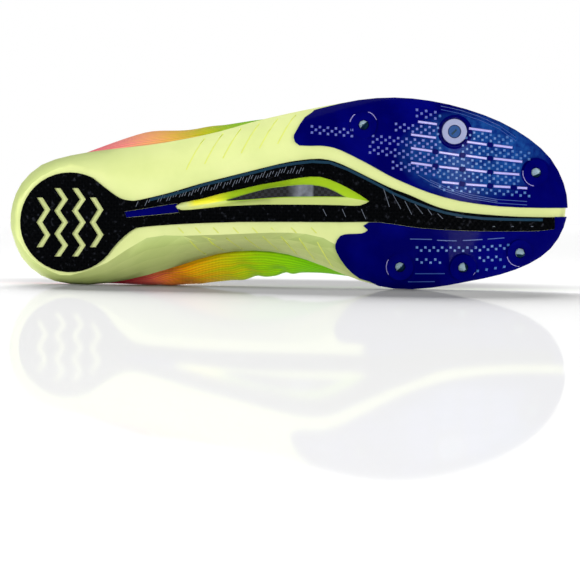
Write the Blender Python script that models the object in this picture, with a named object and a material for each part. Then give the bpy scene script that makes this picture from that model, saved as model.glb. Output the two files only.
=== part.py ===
"""Track spike shoe for the right foot, lying on its inner side with the sole facing -Y.

Everything is modelled standing first: x runs from the heel (0) to the toe, y is positive
towards the inner (big toe) side, and z is up from the flat of the heel rubber. One empty
then lays the whole shoe on its side.
"""

import math

import bmesh
import bpy
from mathutils import Matrix, Vector
from mathutils.bvhtree import BVHTree

# Driving sizes of the last and the sole, in metres
LENGTH = 0.285
BALL_WIDTH = 0.098
HEEL_WIDTH = 0.066
HEEL_FOAM = 0.0167
FORE_FOAM = 0.0093
ARCH_LIFT = 0.0031
TOE_SPRING = 0.0189
HEEL_BEVEL = 0.0024
LIP_HEIGHT = 0.008
LIP_WALL = 0.0025
LIP_DRAFT = 0.001

# Driving sizes of the upper
HEEL_HEIGHT = 0.085
COLLAR_HEIGHT = 0.0635
INSTEP_HEIGHT = 0.082
TOE_HEIGHT = 0.0425
UPPER_WALL = 0.0018
TONGUE_WALL = 0.002
TONGUE_RISE = 0.020
INSOLE_WALL = 0.003
LACE_WIDTH = 0.0058
LACE_WALL = 0.0012
LACE_LAYER = 0.0003
LACE_CROWN = 0.0004

# Driving sizes of the outsole pieces
FIT = 0.0003
RUBBER_WALL = 0.0018
PLATE_WALL = 0.0015
INLAY_WALL = 0.0011
HEEL_DISC_X = 0.0312
HEEL_DISC_RADIUS = 0.0252
HEEL_RING_WALL = 0.0052
TREAD_PITCH = 0.0090
TREAD_SLOT = 0.0034
TREAD_WAVE = 0.0060
TREAD_SLOTS = 4
POCKET_BEVEL = 0.0040
POCKET_WALL = 0.0020
CARBON_WALL = 0.0010
GROOVE_WIDTH = 0.0010
GROOVE_DEPTH = 0.0009
GROOVES_OUTER = 6
GROOVES_INNER = 8
BOSS_RADIUS = 0.0068
BOSS_RISE = 0.0014
SEAT_RADIUS = 0.0027
SEAT_DEPTH = 0.0019
SPIKE_RADIUS = 0.0024
SPIKE_RISE = 0.0050
SPIKE_TIP = 0.0005
WASHER_RADIUS = 0.0064
WASHER_WALL = 0.0010
PLUG_RADIUS = 0.0031

# The foam's underside stands this high over the floor of a standing shoe
SEAT = RUBBER_WALL + FIT

# Density of each material, in kg per cubic metre, for the balance point
FOAM, RUBBER, PLASTIC, METAL, CLOTH = 1100.0, 1200.0, 1100.0, 7850.0, 300.0

OUTER, INNER = -1, 1
STEPS = 2
ACROSS = 4
SHOULDER_RUNS = 4

# Stations from the heel's end to the toe's end, as seen from below.
# x and crease x are shares of LENGTH; the four widths are shares of the shoe's width there.
# edge is the foam's outline, crease is where its flat underside turns up into the flank.
PLAN = (
    # x, edge outer, edge inner, crease x, crease outer, crease inner
    (0.000, 0.000, 0.000, 0.012, 0.000, 0.000),
    (0.004, 0.144, 0.103, 0.018, 0.144, 0.136),
    (0.020, 0.302, 0.274, 0.041, 0.297, 0.282),
    (0.056, 0.444, 0.417, 0.076, 0.394, 0.379),
    (0.109, 0.517, 0.480, 0.110, 0.420, 0.408),
    (0.175, 0.562, 0.473, 0.175, 0.295, 0.311),
    (0.246, 0.586, 0.403, 0.246, 0.282, 0.119),
    (0.309, 0.592, 0.303, 0.309, 0.314, 0.097),
    (0.372, 0.592, 0.209, 0.372, 0.368, 0.082),
    (0.435, 0.603, 0.172, 0.435, 0.396, 0.067),
    (0.498, 0.606, 0.181, 0.498, 0.415, 0.058),
    (0.561, 0.613, 0.233, 0.561, 0.478, 0.083),
    (0.625, 0.633, 0.302, 0.625, 0.531, 0.189),
    (0.688, 0.643, 0.341, 0.688, 0.551, 0.250),
    (0.751, 0.626, 0.336, 0.751, 0.536, 0.250),
    (0.814, 0.584, 0.305, 0.814, 0.495, 0.224),
    (0.875, 0.519, 0.269, 0.870, 0.439, 0.190),
    (0.928, 0.431, 0.214, 0.916, 0.357, 0.139),
    (0.967, 0.330, 0.137, 0.947, 0.265, 0.076),
    (0.990, 0.204, 0.029, 0.967, 0.168, -0.005),
    (0.997, 0.082, -0.082, 0.975, 0.082, -0.082),
)

# Heights of the sole at the same stations, as shares of the sizes named over each column
SOLE = (
    # ARCH_LIFT, TOE_SPRING, HEEL_BEVEL, HEEL_FOAM, FORE_FOAM, LIP outer, LIP inner, round
    (0.00, 0.000, 1.00, 1.00, 0.00, 1.00, 1.00, 0.70),
    (0.00, 0.000, 0.50, 1.00, 0.00, 1.00, 1.00, 0.70),
    (0.00, 0.000, 0.00, 1.00, 0.00, 1.00, 1.00, 0.70),
    (0.00, 0.000, 0.00, 1.00, 0.00, 1.00, 1.00, 0.70),
    (0.00, 0.000, 0.00, 1.00, 0.00, 0.95, 1.00, 0.70),
    (0.00, 0.000, 0.00, 0.98, 0.00, 0.90, 1.00, 0.50),
    (0.00, 0.000, 0.00, 0.95, 0.00, 0.80, 1.05, 0.40),
    (0.29, 0.000, 0.00, 0.84, 0.06, 0.72, 1.15, 0.35),
    (0.58, 0.000, 0.00, 0.65, 0.30, 0.65, 1.25, 0.35),
    (0.87, 0.000, 0.00, 0.47, 0.50, 0.60, 1.30, 0.35),
    (1.00, 0.000, 0.00, 0.28, 0.74, 0.55, 1.15, 0.40),
    (0.90, 0.000, 0.00, 0.12, 0.92, 0.50, 0.80, 0.50),
    (0.35, 0.000, 0.00, 0.00, 1.02, 0.50, 0.55, 0.70),
    (0.00, 0.000, 0.00, 0.00, 1.00, 0.50, 0.50, 0.75),
    (0.20, 0.050, 0.00, 0.00, 0.98, 0.50, 0.50, 0.75),
    (0.15, 0.200, 0.00, 0.00, 0.94, 0.50, 0.50, 0.75),
    (0.00, 0.440, 0.00, 0.00, 0.88, 0.50, 0.50, 0.75),
    (0.00, 0.655, 0.00, 0.00, 0.84, 0.50, 0.50, 0.75),
    (0.00, 0.820, 0.00, 0.00, 0.80, 0.50, 0.50, 0.75),
    (0.00, 0.940, 0.00, 0.00, 0.77, 0.50, 0.50, 0.75),
    (0.00, 1.000, 0.00, 0.00, 0.75, 0.50, 0.50, 0.75),
)

# The upper's fullest line at the same stations: x is a share of LENGTH, the widths are
# shares of the shoe's width, and height is a share of the way from the lip to the top edge
FULLEST = (
    # x, outer, inner, height
    (0.006, 0.000, 0.000, 0.14),
    (0.010, 0.141, 0.101, 0.15),
    (0.026, 0.292, 0.264, 0.19),
    (0.060, 0.432, 0.407, 0.26),
    (0.109, 0.500, 0.470, 0.36),
    (0.175, 0.606, 0.478, 0.46),
    (0.246, 0.691, 0.483, 0.50),
    (0.309, 0.660, 0.449, 0.42),
    (0.372, 0.635, 0.396, 0.33),
    (0.435, 0.613, 0.339, 0.27),
    (0.498, 0.593, 0.289, 0.26),
    (0.561, 0.598, 0.272, 0.27),
    (0.625, 0.612, 0.290, 0.27),
    (0.688, 0.617, 0.311, 0.28),
    (0.751, 0.600, 0.310, 0.30),
    (0.812, 0.560, 0.282, 0.34),
    (0.871, 0.497, 0.248, 0.38),
    (0.921, 0.412, 0.196, 0.42),
    (0.957, 0.313, 0.122, 0.44),
    (0.980, 0.192, 0.020, 0.45),
    (0.987, 0.082, -0.082, 0.45),
)

# The upper's top edge: the collar, then the throat, then the closed ridge over the toes.
# middle and half gap are shares of BALL_WIDTH; height is a share of the size named in size.
TOP = (
    # x, middle, half gap, size, height, crown
    (0.014, -0.010, 0.000, HEEL_HEIGHT, 1.000, 0.0),
    (0.018, -0.010, 0.075, HEEL_HEIGHT, 0.985, 0.0),
    (0.034, -0.011, 0.150, HEEL_HEIGHT, 0.925, 0.0),
    (0.064, -0.013, 0.215, COLLAR_HEIGHT, 1.130, 0.0),
    (0.106, -0.016, 0.250, COLLAR_HEIGHT, 1.040, 0.0),
    (0.165, -0.022, 0.268, COLLAR_HEIGHT, 1.000, 0.0),
    (0.225, -0.036, 0.268, COLLAR_HEIGHT, 1.010, 0.0),
    (0.285, -0.055, 0.255, INSTEP_HEIGHT, 0.840, 0.0),
    (0.344, -0.075, 0.232, INSTEP_HEIGHT, 0.930, 0.1),
    (0.400, -0.092, 0.188, INSTEP_HEIGHT, 1.000, 0.3),
    (0.463, -0.108, 0.140, INSTEP_HEIGHT, 0.915, 0.5),
    (0.530, -0.122, 0.118, INSTEP_HEIGHT, 0.810, 0.6),
    (0.596, -0.132, 0.098, INSTEP_HEIGHT, 0.715, 0.8),
    (0.660, -0.138, 0.000, INSTEP_HEIGHT, 0.635, 1.0),
    (0.723, -0.142, 0.000, INSTEP_HEIGHT, 0.582, 1.0),
    (0.792, -0.143, 0.000, TOE_HEIGHT, 1.050, 1.0),
    (0.848, -0.138, 0.000, TOE_HEIGHT, 1.005, 1.0),
    (0.890, -0.126, 0.000, TOE_HEIGHT, 0.990, 1.0),
    (0.922, -0.110, 0.000, TOE_HEIGHT, 1.000, 1.0),
    (0.942, -0.095, 0.000, TOE_HEIGHT, 1.010, 1.0),
    (0.950, -0.085, 0.000, TOE_HEIGHT, 1.015, 1.0),
)
TOE_END = len(PLAN) - 1
THROAT_FRONT = 13

# The rubber strip's two edges past the heel disc: x as a share of LENGTH, y of BALL_WIDTH
STRIP_OUTER_EDGE = (
    (0.160, -0.205), (0.181, -0.157), (0.199, -0.123), (0.217, -0.111), (0.234, -0.115),
    (0.288, -0.152), (0.341, -0.198), (0.412, -0.250), (0.484, -0.302), (0.519, -0.320),
    (0.555, -0.328), (0.582, -0.312), (0.608, -0.279), (0.644, -0.227), (0.680, -0.177),
    (0.715, -0.139), (0.751, -0.092), (0.787, -0.060), (0.840, -0.041), (0.911, -0.027),
    (0.975, -0.024),
)
STRIP_INNER_EDGE = (
    (0.975, 0.034), (0.947, 0.043), (0.911, 0.045), (0.840, 0.044), (0.768, 0.035),
    (0.715, 0.021), (0.662, -0.002), (0.590, -0.002), (0.412, -0.003), (0.288, 0.011),
    (0.234, 0.025), (0.225, 0.032), (0.217, 0.045), (0.206, 0.071), (0.194, 0.104),
)

# The blue web in the fork of the strip's two arms
INLAY_OUTER_EDGE = ((0.207, -0.0544), (0.234, -0.0663), (0.270, -0.0844), (0.300, -0.0974))
INLAY_INNER_EDGE = ((0.303, -0.0508), (0.270, -0.0414), (0.234, -0.0316), (0.210, -0.0243))

# The long window between the arms, and the smaller opening at the foot of its bevel
WINDOW = (
    # x, outer edge, inner edge
    (0.299, -0.082, -0.082),
    (0.307, -0.102, -0.062),
    (0.340, -0.120, -0.068),
    (0.377, -0.149, -0.080),
    (0.412, -0.172, -0.085),
    (0.448, -0.196, -0.090),
    (0.484, -0.214, -0.090),
    (0.519, -0.232, -0.090),
    (0.555, -0.237, -0.089),
    (0.590, -0.201, -0.087),
    (0.626, -0.144, -0.085),
    (0.643, -0.108, -0.108),
)
OPENING = (
    # x, outer edge, inner edge
    (0.386, -0.113, -0.113),
    (0.391, -0.122, -0.108),
    (0.404, -0.133, -0.109),
    (0.421, -0.148, -0.112),
    (0.442, -0.165, -0.117),
    (0.463, -0.180, -0.122),
    (0.484, -0.188, -0.126),
    (0.512, -0.197, -0.128),
    (0.540, -0.198, -0.129),
    (0.568, -0.182, -0.129),
    (0.593, -0.146, -0.128),
    (0.603, -0.129, -0.129),
)

# Edges of the two forefoot plates that show on the foam; past them the plates run off
# over the sole's rim
OUTER_PLATE_EDGE = (
    (0.574, -0.765), (0.551, -0.600), (0.528, -0.546), (0.512, -0.472), (0.508, -0.437),
    (0.518, -0.398), (0.555, -0.397), (0.581, -0.385), (0.608, -0.351), (0.644, -0.297),
    (0.679, -0.240), (0.715, -0.193), (0.751, -0.152), (0.804, -0.110), (0.875, -0.082),
    (0.947, -0.074), (1.010, -0.074),
)
INNER_PLATE_EDGE = (
    (1.010, -0.028), (0.947, -0.026), (0.911, -0.020), (0.800, 0.000), (0.642, 0.000),
    (0.640, 0.040), (0.629, 0.058), (0.608, 0.060), (0.591, 0.071), (0.582, 0.117),
    (0.585, 0.159), (0.601, 0.232), (0.626, 0.294), (0.662, 0.335), (0.690, 0.480),
)

# The six bosses of the plates: which plate, x share of LENGTH, y share of BALL_WIDTH
OUTER_BOSSES = ((0.633, -0.504), (0.793, -0.470), (0.940, -0.258))
INNER_BOSSES = ((0.697, 0.232), (0.809, 0.232), (0.911, 0.159))
EMPTY_BOSS = 1

# Lace stations, from the throat's back to its front, and how far down the upper's shoulder
# each run reaches
LACE_ROWS = (9.35, 10.05, 10.75, 11.45, 12.15)
LACE_REACH = 0.28

# The foam's widest line stands at this share of its side wall: at the back, and in the forefoot
EDGE_SHARE_BACK, EDGE_SHARE_FRONT = 0.80, 0.60
FOREFOOT_ROW = 12

# Slanting grooves of each side: first station, pitch, how far each runs, low and high share
OUTER_GROOVES = (7.12, 0.517, 0.52, 0.14, 0.88)
INNER_GROOVES = (7.22, 0.515, 0.46, 0.14, 0.84)
GROOVE_RUNS = 4

# The tongue's free end: share of its rise, and the width left there
TONGUE_END_ROWS = ((0.35, 0.80), (0.7, 0.78), (1.0, 0.72))


def clear_scene():
    for obj in list(bpy.data.objects):
        bpy.data.objects.remove(obj, do_unlink=True)


def material(name, colour, roughness, metallic=0.0):
    mat = bpy.data.materials.new(name)
    mat.use_nodes = True
    shader = mat.node_tree.nodes["Principled BSDF"]
    shader.inputs["Base Color"].default_value = (*colour, 1.0)
    shader.inputs["Roughness"].default_value = roughness
    shader.inputs["Metallic"].default_value = metallic
    return mat


def face_out(bm):
    """Turns every face of a closed solid outwards."""
    bmesh.ops.recalc_face_normals(bm, faces=bm.faces)
    if bm.calc_volume(signed=True) < 0.0:
        bmesh.ops.reverse_faces(bm, faces=bm.faces)
    return bm


def add_object(name, mesh_bm, mat, density):
    """A finished piece, with its normals outward and its density kept for the balance."""
    face_out(mesh_bm)
    mesh = bpy.data.meshes.new(name)
    mesh_bm.to_mesh(mesh)
    mesh_bm.free()
    mesh.materials.append(mat)
    obj = bpy.data.objects.new(name, mesh)
    bpy.context.collection.objects.link(obj)
    obj["density"] = density
    return obj


def smooth_step(t):
    t = min(1.0, max(0.0, t))
    return t * t * (3.0 - 2.0 * t)


def width_at(x_share):
    """The shoe's width: the heel's up to a fifth of the length, the ball's past 62 %."""
    blend = smooth_step((x_share - 0.20) / 0.42)
    return HEEL_WIDTH + (BALL_WIDTH - HEEL_WIDTH) * blend


def catmull_rom(p0, p1, p2, p3, t):
    a = (p2 - p0) * 0.5
    b = p0 - p1 * 2.5 + p2 * 2.0 - p3 * 0.5
    c = (p1 - p2) * 1.5 + (p3 - p0) * 0.5
    return p1 + a * t + b * (t * t) + c * (t * t * t)


def open_curve(points, steps):
    """A smooth line through the points, with `steps` stretches between neighbours."""
    last = len(points) - 1
    line = []
    for i in range(last):
        p0, p1 = points[max(0, i - 1)], points[i]
        p2, p3 = points[i + 1], points[min(last, i + 2)]
        for k in range(steps):
            line.append(catmull_rom(p0, p1, p2, p3, k / steps))
    line.append(points[last])
    return line


class Ring:
    """A closed smooth line round the shoe: stations 0 to 20 along the outer side from
    heel to toe, then 20 to 40 back along the inner side."""

    def __init__(self, place):
        outer = [place(row, OUTER) for row in range(TOE_END + 1)]
        inner = [place(row, INNER) for row in range(TOE_END - 1, 0, -1)]
        self.points = outer + inner

    def at(self, station):
        count = len(self.points)
        whole = math.floor(station)
        near = [self.points[(whole + k) % count] for k in (-1, 0, 1, 2)]
        return catmull_rom(*near, station - whole)

    def inset(self, station, distance):
        """The ring's point moved inwards, level, by a distance."""
        along = self.at(station + 0.25) - self.at(station - 0.25)
        inward = Vector((-along.y, along.x, 0.0)).normalized()
        return self.at(station) + inward * distance


def stations():
    return [k / STEPS for k in range(2 * TOE_END * STEPS)]


def base_height(row):
    arch, spring = SOLE[row][0], SOLE[row][1]
    return SEAT + ARCH_LIFT * arch + TOE_SPRING * spring


def bed_height(row):
    return base_height(row) + HEEL_FOAM * SOLE[row][3] + FORE_FOAM * SOLE[row][4]


def lip_height(row, side):
    return bed_height(row) + LIP_HEIGHT * SOLE[row][5 if side == OUTER else 6]


def plan_point(row, side, columns, height):
    """A point of PLAN: columns are those of its x, outer width and inner width."""
    x_share = PLAN[row][columns[0]]
    share = -PLAN[row][columns[1]] if side == OUTER else PLAN[row][columns[2]]
    return Vector((x_share * LENGTH, share * width_at(x_share), height))


def crease_point(row, side):
    return plan_point(row, side, (3, 4, 5), base_height(row) + HEEL_BEVEL * SOLE[row][2])


def edge_point(row, side):
    low, high = base_height(row), lip_height(row, side)
    share = EDGE_SHARE_BACK if row < FOREFOOT_ROW else EDGE_SHARE_FRONT
    return plan_point(row, side, (0, 1, 2), low + (high - low) * share)


def flank_point(row, side, t):
    """The flank from crease (t 0) to edge (t 1): a curve that SOLE's last column rounds."""
    crease, edge = crease_point(row, side), edge_point(row, side)
    corner = Vector((edge.x, edge.y, crease.z))
    handle = (crease + edge).lerp(corner * 2.0, SOLE[row][7]) * 0.5
    return crease * (1 - t) ** 2 + handle * 2 * t * (1 - t) + edge * t * t


FLANK_SHARES = (0.0, 0.25, 0.5, 0.75, 1.0)
FLANK = [Ring(lambda row, side, t=t: flank_point(row, side, t)) for t in FLANK_SHARES]
EDGE = FLANK[-1]
BED_LINE = Ring(lambda row, side: Vector((0.0, 0.0, bed_height(row))))
LIP_LINE = Ring(lambda row, side: Vector((0.0, 0.0, lip_height(row, side))))


def at_height(point, height):
    return Vector((point.x, point.y, height))


def base_at(x):
    """Height of the foam's flat underside at a distance from the heel."""
    rows = [(PLAN[row][3] * LENGTH, base_height(row)) for row in range(TOE_END + 1)]
    for (x0, z0), (x1, z1) in zip(rows, rows[1:]):
        if x <= x1:
            return z0 + (z1 - z0) * max(0.0, (x - x0) / (x1 - x0))
    return rows[-1][1]


def add_ring(bm, points):
    return [bm.verts.new(p) for p in points]


def bridge(bm, low, high):
    """Quads between two rings of the same count."""
    count = len(low)
    for i in range(count):
        j = (i + 1) % count
        bm.faces.new((low[i], low[j], high[j], high[i]))


def fill_across(bm, ring, across):
    """Closes a ring with strips between its outer and inner points, `across` wide."""
    half = len(ring) // 2
    rows = []
    for i in range(1, half):
        a, b = ring[i], ring[-i]
        between = [bm.verts.new(a.co.lerp(b.co, k / across)) for k in range(1, across)]
        rows.append([a, *between, b])
    for row in (rows[0], rows[-1]):
        tip = ring[0] if row is rows[0] else ring[half]
        for k in range(across):
            bm.faces.new((tip, row[k], row[k + 1]))
    for low, high in zip(rows, rows[1:]):
        for k in range(across):
            bm.faces.new((low[k], low[k + 1], high[k + 1], high[k]))


def sole_skin(shift, rings):
    """The foam's underside as an open sheet up to some flank ring, pushed out by shift."""
    bm = bmesh.new()
    loops = [add_ring(bm, [ring.at(s) for s in stations()]) for ring in rings]
    fill_across(bm, loops[0], ACROSS)
    for low, high in zip(loops, loops[1:]):
        bridge(bm, low, high)
    bmesh.ops.recalc_face_normals(bm, faces=bm.faces)
    if sum(face.normal.z * face.calc_area() for face in bm.faces) > 0.0:
        bmesh.ops.reverse_faces(bm, faces=bm.faces)
    bm.normal_update()
    moved = [(v, v.co + v.normal * shift) for v in bm.verts]
    for v, place in moved:
        v.co = place
    return bm


def layer(shift, wall):
    """A sheet of even thickness that hugs the foam from below, as a closed solid."""
    inner = sole_skin(shift, FLANK[:4])
    outer = sole_skin(shift + wall, FLANK[:4])
    inner.verts.index_update()
    outer.verts.index_update()
    copies = [inner.verts.new(v.co) for v in outer.verts]
    old = [v for v in inner.verts if v not in set(copies)]
    border = [e for e in inner.edges if e.is_boundary]
    pairs = [(e.verts[0].index, e.verts[1].index) for e in border]
    for face in list(inner.faces):
        inner.faces.new([copies[v.index] for v in reversed(face.verts)])
    for a, b in pairs:
        inner.faces.new((old[a], old[b], copies[b], copies[a]))
    outer.free()
    return face_out(inner)


def plan_points(rows):
    return [Vector((x * LENGTH, y * BALL_WIDTH, 0.0)) for x, y in rows]


def grown(outline, distance):
    """An outline with each edge moved outwards by a distance."""
    area = sum(a.x * b.y - b.x * a.y for a, b in zip(outline, outline[1:] + outline[:1]))
    sign = 1.0 if area > 0 else -1.0
    result = []
    for i, point in enumerate(outline):
        back, ahead = point - outline[i - 1], outline[(i + 1) % len(outline)] - point
        normals = [Vector((e.y, -e.x, 0.0)).normalized() * sign for e in (back, ahead)]
        middle = (normals[0] + normals[1]).normalized()
        result.append(point + middle * distance / max(0.3, middle.dot(normals[0])))
    return result


def prism(outline, low=-HEEL_HEIGHT, high=HEEL_HEIGHT):
    """A closed upright prism on an outline."""
    bm = bmesh.new()
    base = bm.faces.new([bm.verts.new((p.x, p.y, low)) for p in outline])
    top = bmesh.ops.extrude_face_region(bm, geom=[base])["geom"]
    lifted = [item for item in top if isinstance(item, bmesh.types.BMVert)]
    bmesh.ops.translate(bm, verts=lifted, vec=(0.0, 0.0, high - low))
    return face_out(bm)


def cylinder(radius, low, high, place, axis, segments):
    """A closed cylinder along an axis, its ends at low and high from place."""
    bm = bmesh.new()
    bmesh.ops.create_cone(bm, cap_ends=True, segments=segments, radius1=radius,
                          radius2=radius, depth=high - low)
    turn = Vector((0.0, 0.0, 1.0)).rotation_difference(axis).to_matrix().to_4x4()
    bmesh.ops.translate(bm, verts=bm.verts, vec=(0.0, 0.0, (low + high) / 2))
    bmesh.ops.transform(bm, verts=bm.verts, matrix=Matrix.Translation(place) @ turn)
    return bm


def combine(bm, operation, cutters):
    """The bmesh after exact Booleans with each cutter in turn."""
    base_mesh = bpy.data.meshes.new("work")
    bm.to_mesh(base_mesh)
    bm.free()
    base = bpy.data.objects.new("work", base_mesh)
    bpy.context.collection.objects.link(base)
    tools = []
    for cutter in cutters:
        mesh = bpy.data.meshes.new("tool")
        cutter.to_mesh(mesh)
        cutter.free()
        tool = bpy.data.objects.new("tool", mesh)
        bpy.context.collection.objects.link(tool)
        modifier = base.modifiers.new("cut", "BOOLEAN")
        modifier.operation = operation
        modifier.solver = "EXACT"
        modifier.object = tool
        tools.append(tool)
    graph = bpy.context.evaluated_depsgraph_get()
    result = bmesh.new()
    result.from_mesh(base.evaluated_get(graph).to_mesh())
    for obj in [base, *tools]:
        bpy.data.objects.remove(obj, do_unlink=True)
    bmesh.ops.remove_doubles(result, verts=result.verts, dist=0.000005)
    bmesh.ops.dissolve_degenerate(result, edges=result.edges, dist=0.000005)
    return result


def strip_outline():
    """The rubber strip in plan: round the heel disc, then along both edges."""
    outer = open_curve(plan_points(STRIP_OUTER_EDGE), 2)
    inner = open_curve(plan_points(STRIP_INNER_EDGE), 2)
    centre = Vector((HEEL_DISC_X, 0.0, 0.0))
    first = math.atan2((inner[-1] - centre).y, (inner[-1] - centre).x)
    last = 2 * math.pi + math.atan2((outer[0] - centre).y, (outer[0] - centre).x)
    arc = []
    for k in range(1, 32):
        angle = first + (last - first) * k / 32
        arc.append(centre + Vector((math.cos(angle), math.sin(angle), 0.0)) * HEEL_DISC_RADIUS)
    return outer + inner + arc


def inlay_outline():
    outer = open_curve(plan_points(INLAY_OUTER_EDGE), 2)
    inner = open_curve(plan_points(INLAY_INNER_EDGE), 2)
    return outer + inner


def lens_loop(rows):
    """A window-like outline from rows of (x, outer edge, inner edge)."""
    outer = open_curve(plan_points([(x, a) for x, a, b in rows]), 2)
    inner = open_curve(plan_points([(x, b) for x, a, b in rows]), 2)
    return outer + inner[-2:0:-1]


def tread_slots():
    """Zigzag slots across the heel disc, cut off at the disc's plain ring."""
    reach = HEEL_DISC_RADIUS - HEEL_RING_WALL
    slots = []
    for k in range(TREAD_SLOTS):
        middle = (k - (TREAD_SLOTS - 1) / 2) * TREAD_PITCH
        half = math.sqrt(reach ** 2 - middle ** 2) - TREAD_WAVE / 3
        teeth = max(2, 2 * round(half / TREAD_WAVE))
        front, back = [], []
        for i in range(teeth + 1):
            y = half * (2 * i / teeth - 1)
            x = HEEL_DISC_X + middle + TREAD_WAVE / 3 * (1 if i % 2 else -1)
            front.append(Vector((x + TREAD_SLOT / 2, y, 0.0)))
            back.append(Vector((x - TREAD_SLOT / 2, y, 0.0)))
        slots.append(prism(front + back[::-1], -SEAT, SEAT - FIT / 2))
    return slots


def rubber_strip():
    solid = combine(layer(FIT, RUBBER_WALL), "INTERSECT", [prism(strip_outline())])
    holes = [prism(lens_loop(WINDOW)), prism(grown(inlay_outline(), FIT)), *tread_slots()]
    return combine(solid, "DIFFERENCE", holes)


def waist_inlay():
    solid = combine(layer(FIT, INLAY_WALL), "INTERSECT", [prism(inlay_outline())])
    return combine(solid, "DIFFERENCE", [prism(grown(lens_loop(WINDOW), FIT))])


def boss_axis(place):
    """Where a boss's centre meets the plate's outer face, and the way that it points."""
    sheet = sole_skin(FIT + PLATE_WALL, FLANK[:4])
    tree = BVHTree.FromBMesh(sheet)
    sheet.free()
    x, y = place
    start = Vector((x * LENGTH, y * BALL_WIDTH, -HEEL_HEIGHT))
    hit, normal, _, _ = tree.ray_cast(start, Vector((0.0, 0.0, 1.0)))
    return hit, normal if normal.z < 0 else -normal


def spike_plate(edge_rows, corners, bosses, clear_of):
    """A forefoot plate: the sheet inside its outline, with its bosses and pin seats."""
    outline = open_curve(plan_points(edge_rows), 2) + plan_points(corners)
    solid = combine(layer(FIT, PLATE_WALL), "INTERSECT", [prism(outline)])
    if clear_of:
        solid = combine(solid, "DIFFERENCE", clear_of)
    for place in bosses:
        hit, axis = boss_axis(place)
        disc = cylinder(BOSS_RADIUS, -BOSS_RADIUS, BOSS_RISE, hit, axis, 28)
        boss = combine(layer(FIT + PLATE_WALL / 3, PLATE_WALL + BOSS_RISE * 2), "INTERSECT", [disc])
        solid = combine(solid, "UNION", [boss])
    seats = []
    for place in bosses:
        hit, axis = boss_axis(place)
        depth = BOSS_RISE - SEAT_DEPTH
        seats.append(cylinder(SEAT_RADIUS, depth, BOSS_RISE + SEAT_DEPTH, hit, axis, 16))
    return combine(solid, "DIFFERENCE", seats)


def spike(place):
    """A steel pin: a round shank in its seat and a four-sided point."""
    hit, axis = boss_axis(place)
    low = BOSS_RISE - SEAT_DEPTH + FIT
    bm = cylinder(SPIKE_RADIUS, low, BOSS_RISE + FIT, hit, axis, 8)
    top = max(bm.faces, key=lambda face: (face.calc_center_median() - hit).dot(axis))
    moved = bmesh.ops.extrude_face_region(bm, geom=[top])["geom"]
    tip = [item for item in moved if isinstance(item, bmesh.types.BMVert)]
    bmesh.ops.delete(bm, geom=[top], context="FACES_ONLY")
    centre = hit + axis * (BOSS_RISE + FIT)
    for v in tip:
        v.co = centre + axis * SPIKE_RISE + (v.co - centre) * (SPIKE_TIP / SPIKE_RADIUS)
    return bm


def washer(place):
    hit, axis = boss_axis(place)
    low, high = BOSS_RISE + FIT, BOSS_RISE + FIT + WASHER_WALL
    ring = cylinder(WASHER_RADIUS, low, high, hit, axis, 28)
    hole = cylinder(PLUG_RADIUS + FIT, low - WASHER_WALL, high + WASHER_WALL, hit, axis, 20)
    return combine(ring, "DIFFERENCE", [hole])


def blank_plug(place):
    """The slotted blank that closes the empty seat."""
    hit, axis = boss_axis(place)
    foot = BOSS_RISE + FIT
    head = cylinder(PLUG_RADIUS, foot, foot + WASHER_WALL * 0.6, hit, axis, 20)
    shank = cylinder(SPIKE_RADIUS, BOSS_RISE - SEAT_DEPTH + FIT, foot + FIT, hit, axis, 12)
    return combine(head, "UNION", [shank])


def pocket():
    """The window's recess in the foam: a bevel down to the opening, then a straight wall."""
    levels = (
        (WINDOW, -POCKET_BEVEL),
        (WINDOW, FIT / 3),
        (OPENING, POCKET_BEVEL),
        (OPENING, POCKET_BEVEL + POCKET_WALL),
    )
    bm = bmesh.new()
    loops = []
    for rows, level in levels:
        points = lens_loop(rows)
        loops.append(add_ring(bm, [at_height(p, base_at(p.x) + level) for p in points]))
    for low, high in zip(loops, loops[1:]):
        bridge(bm, low, high)
    fill_across(bm, loops[0], 1)
    fill_across(bm, loops[-1], 1)
    return face_out(bm)


def carbon_plate():
    """The carbon blade that shows at the bottom of the window."""
    top = POCKET_BEVEL + POCKET_WALL - FIT
    bm = bmesh.new()
    loops = []
    for level in (top - CARBON_WALL, top):
        points = grown(lens_loop(OPENING), -FIT * 1.5)
        loops.append(add_ring(bm, [at_height(p, base_at(p.x) + level) for p in points]))
    bridge(bm, loops[0], loops[1])
    fill_across(bm, loops[0], 1)
    fill_across(bm, loops[1], 1)
    return bm


def flank_place(station, t):
    """A point of the flank, and its outward direction, at any station."""
    side = OUTER if station < TOE_END else INNER
    row = station if side == OUTER else 2 * TOE_END - station
    step = 0.02

    def point(r, share):
        low, high = int(math.floor(r)), int(math.floor(r)) + 1
        a, b = flank_point(low, side, share), flank_point(high, side, share)
        return a.lerp(b, r - low)

    along = point(row + step, t) - point(row - step, t)
    up = point(row, t + step) - point(row, t - step)
    normal = along.cross(up).normalized()
    return point(row, t), normal if normal.y * side > 0 else -normal


def groove(start, end, low, high):
    """A cutter along the flank between two stations, from share low to share high."""
    bm = bmesh.new()
    loops = []
    for i in range(GROOVE_RUNS + 1):
        k = i / GROOVE_RUNS
        place, out = flank_place(start + (end - start) * k, low + (high - low) * k)
        ahead, _ = flank_place(start + (end - start) * (k + 0.01), low + (high - low) * (k + 0.01))
        side = (ahead - place).cross(out).normalized() * GROOVE_WIDTH / 2
        top, bottom = place + out * GROOVE_WIDTH * 1.5, place - out * GROOVE_DEPTH
        corners = (top + side, top - side, bottom - side * 0.5, bottom + side * 0.5)
        loops.append([bm.verts.new(p) for p in corners])
    for a, b in zip(loops, loops[1:]):
        bridge(bm, a, b)
    bm.faces.new(loops[0])
    bm.faces.new(loops[-1])
    return face_out(bm)


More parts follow.
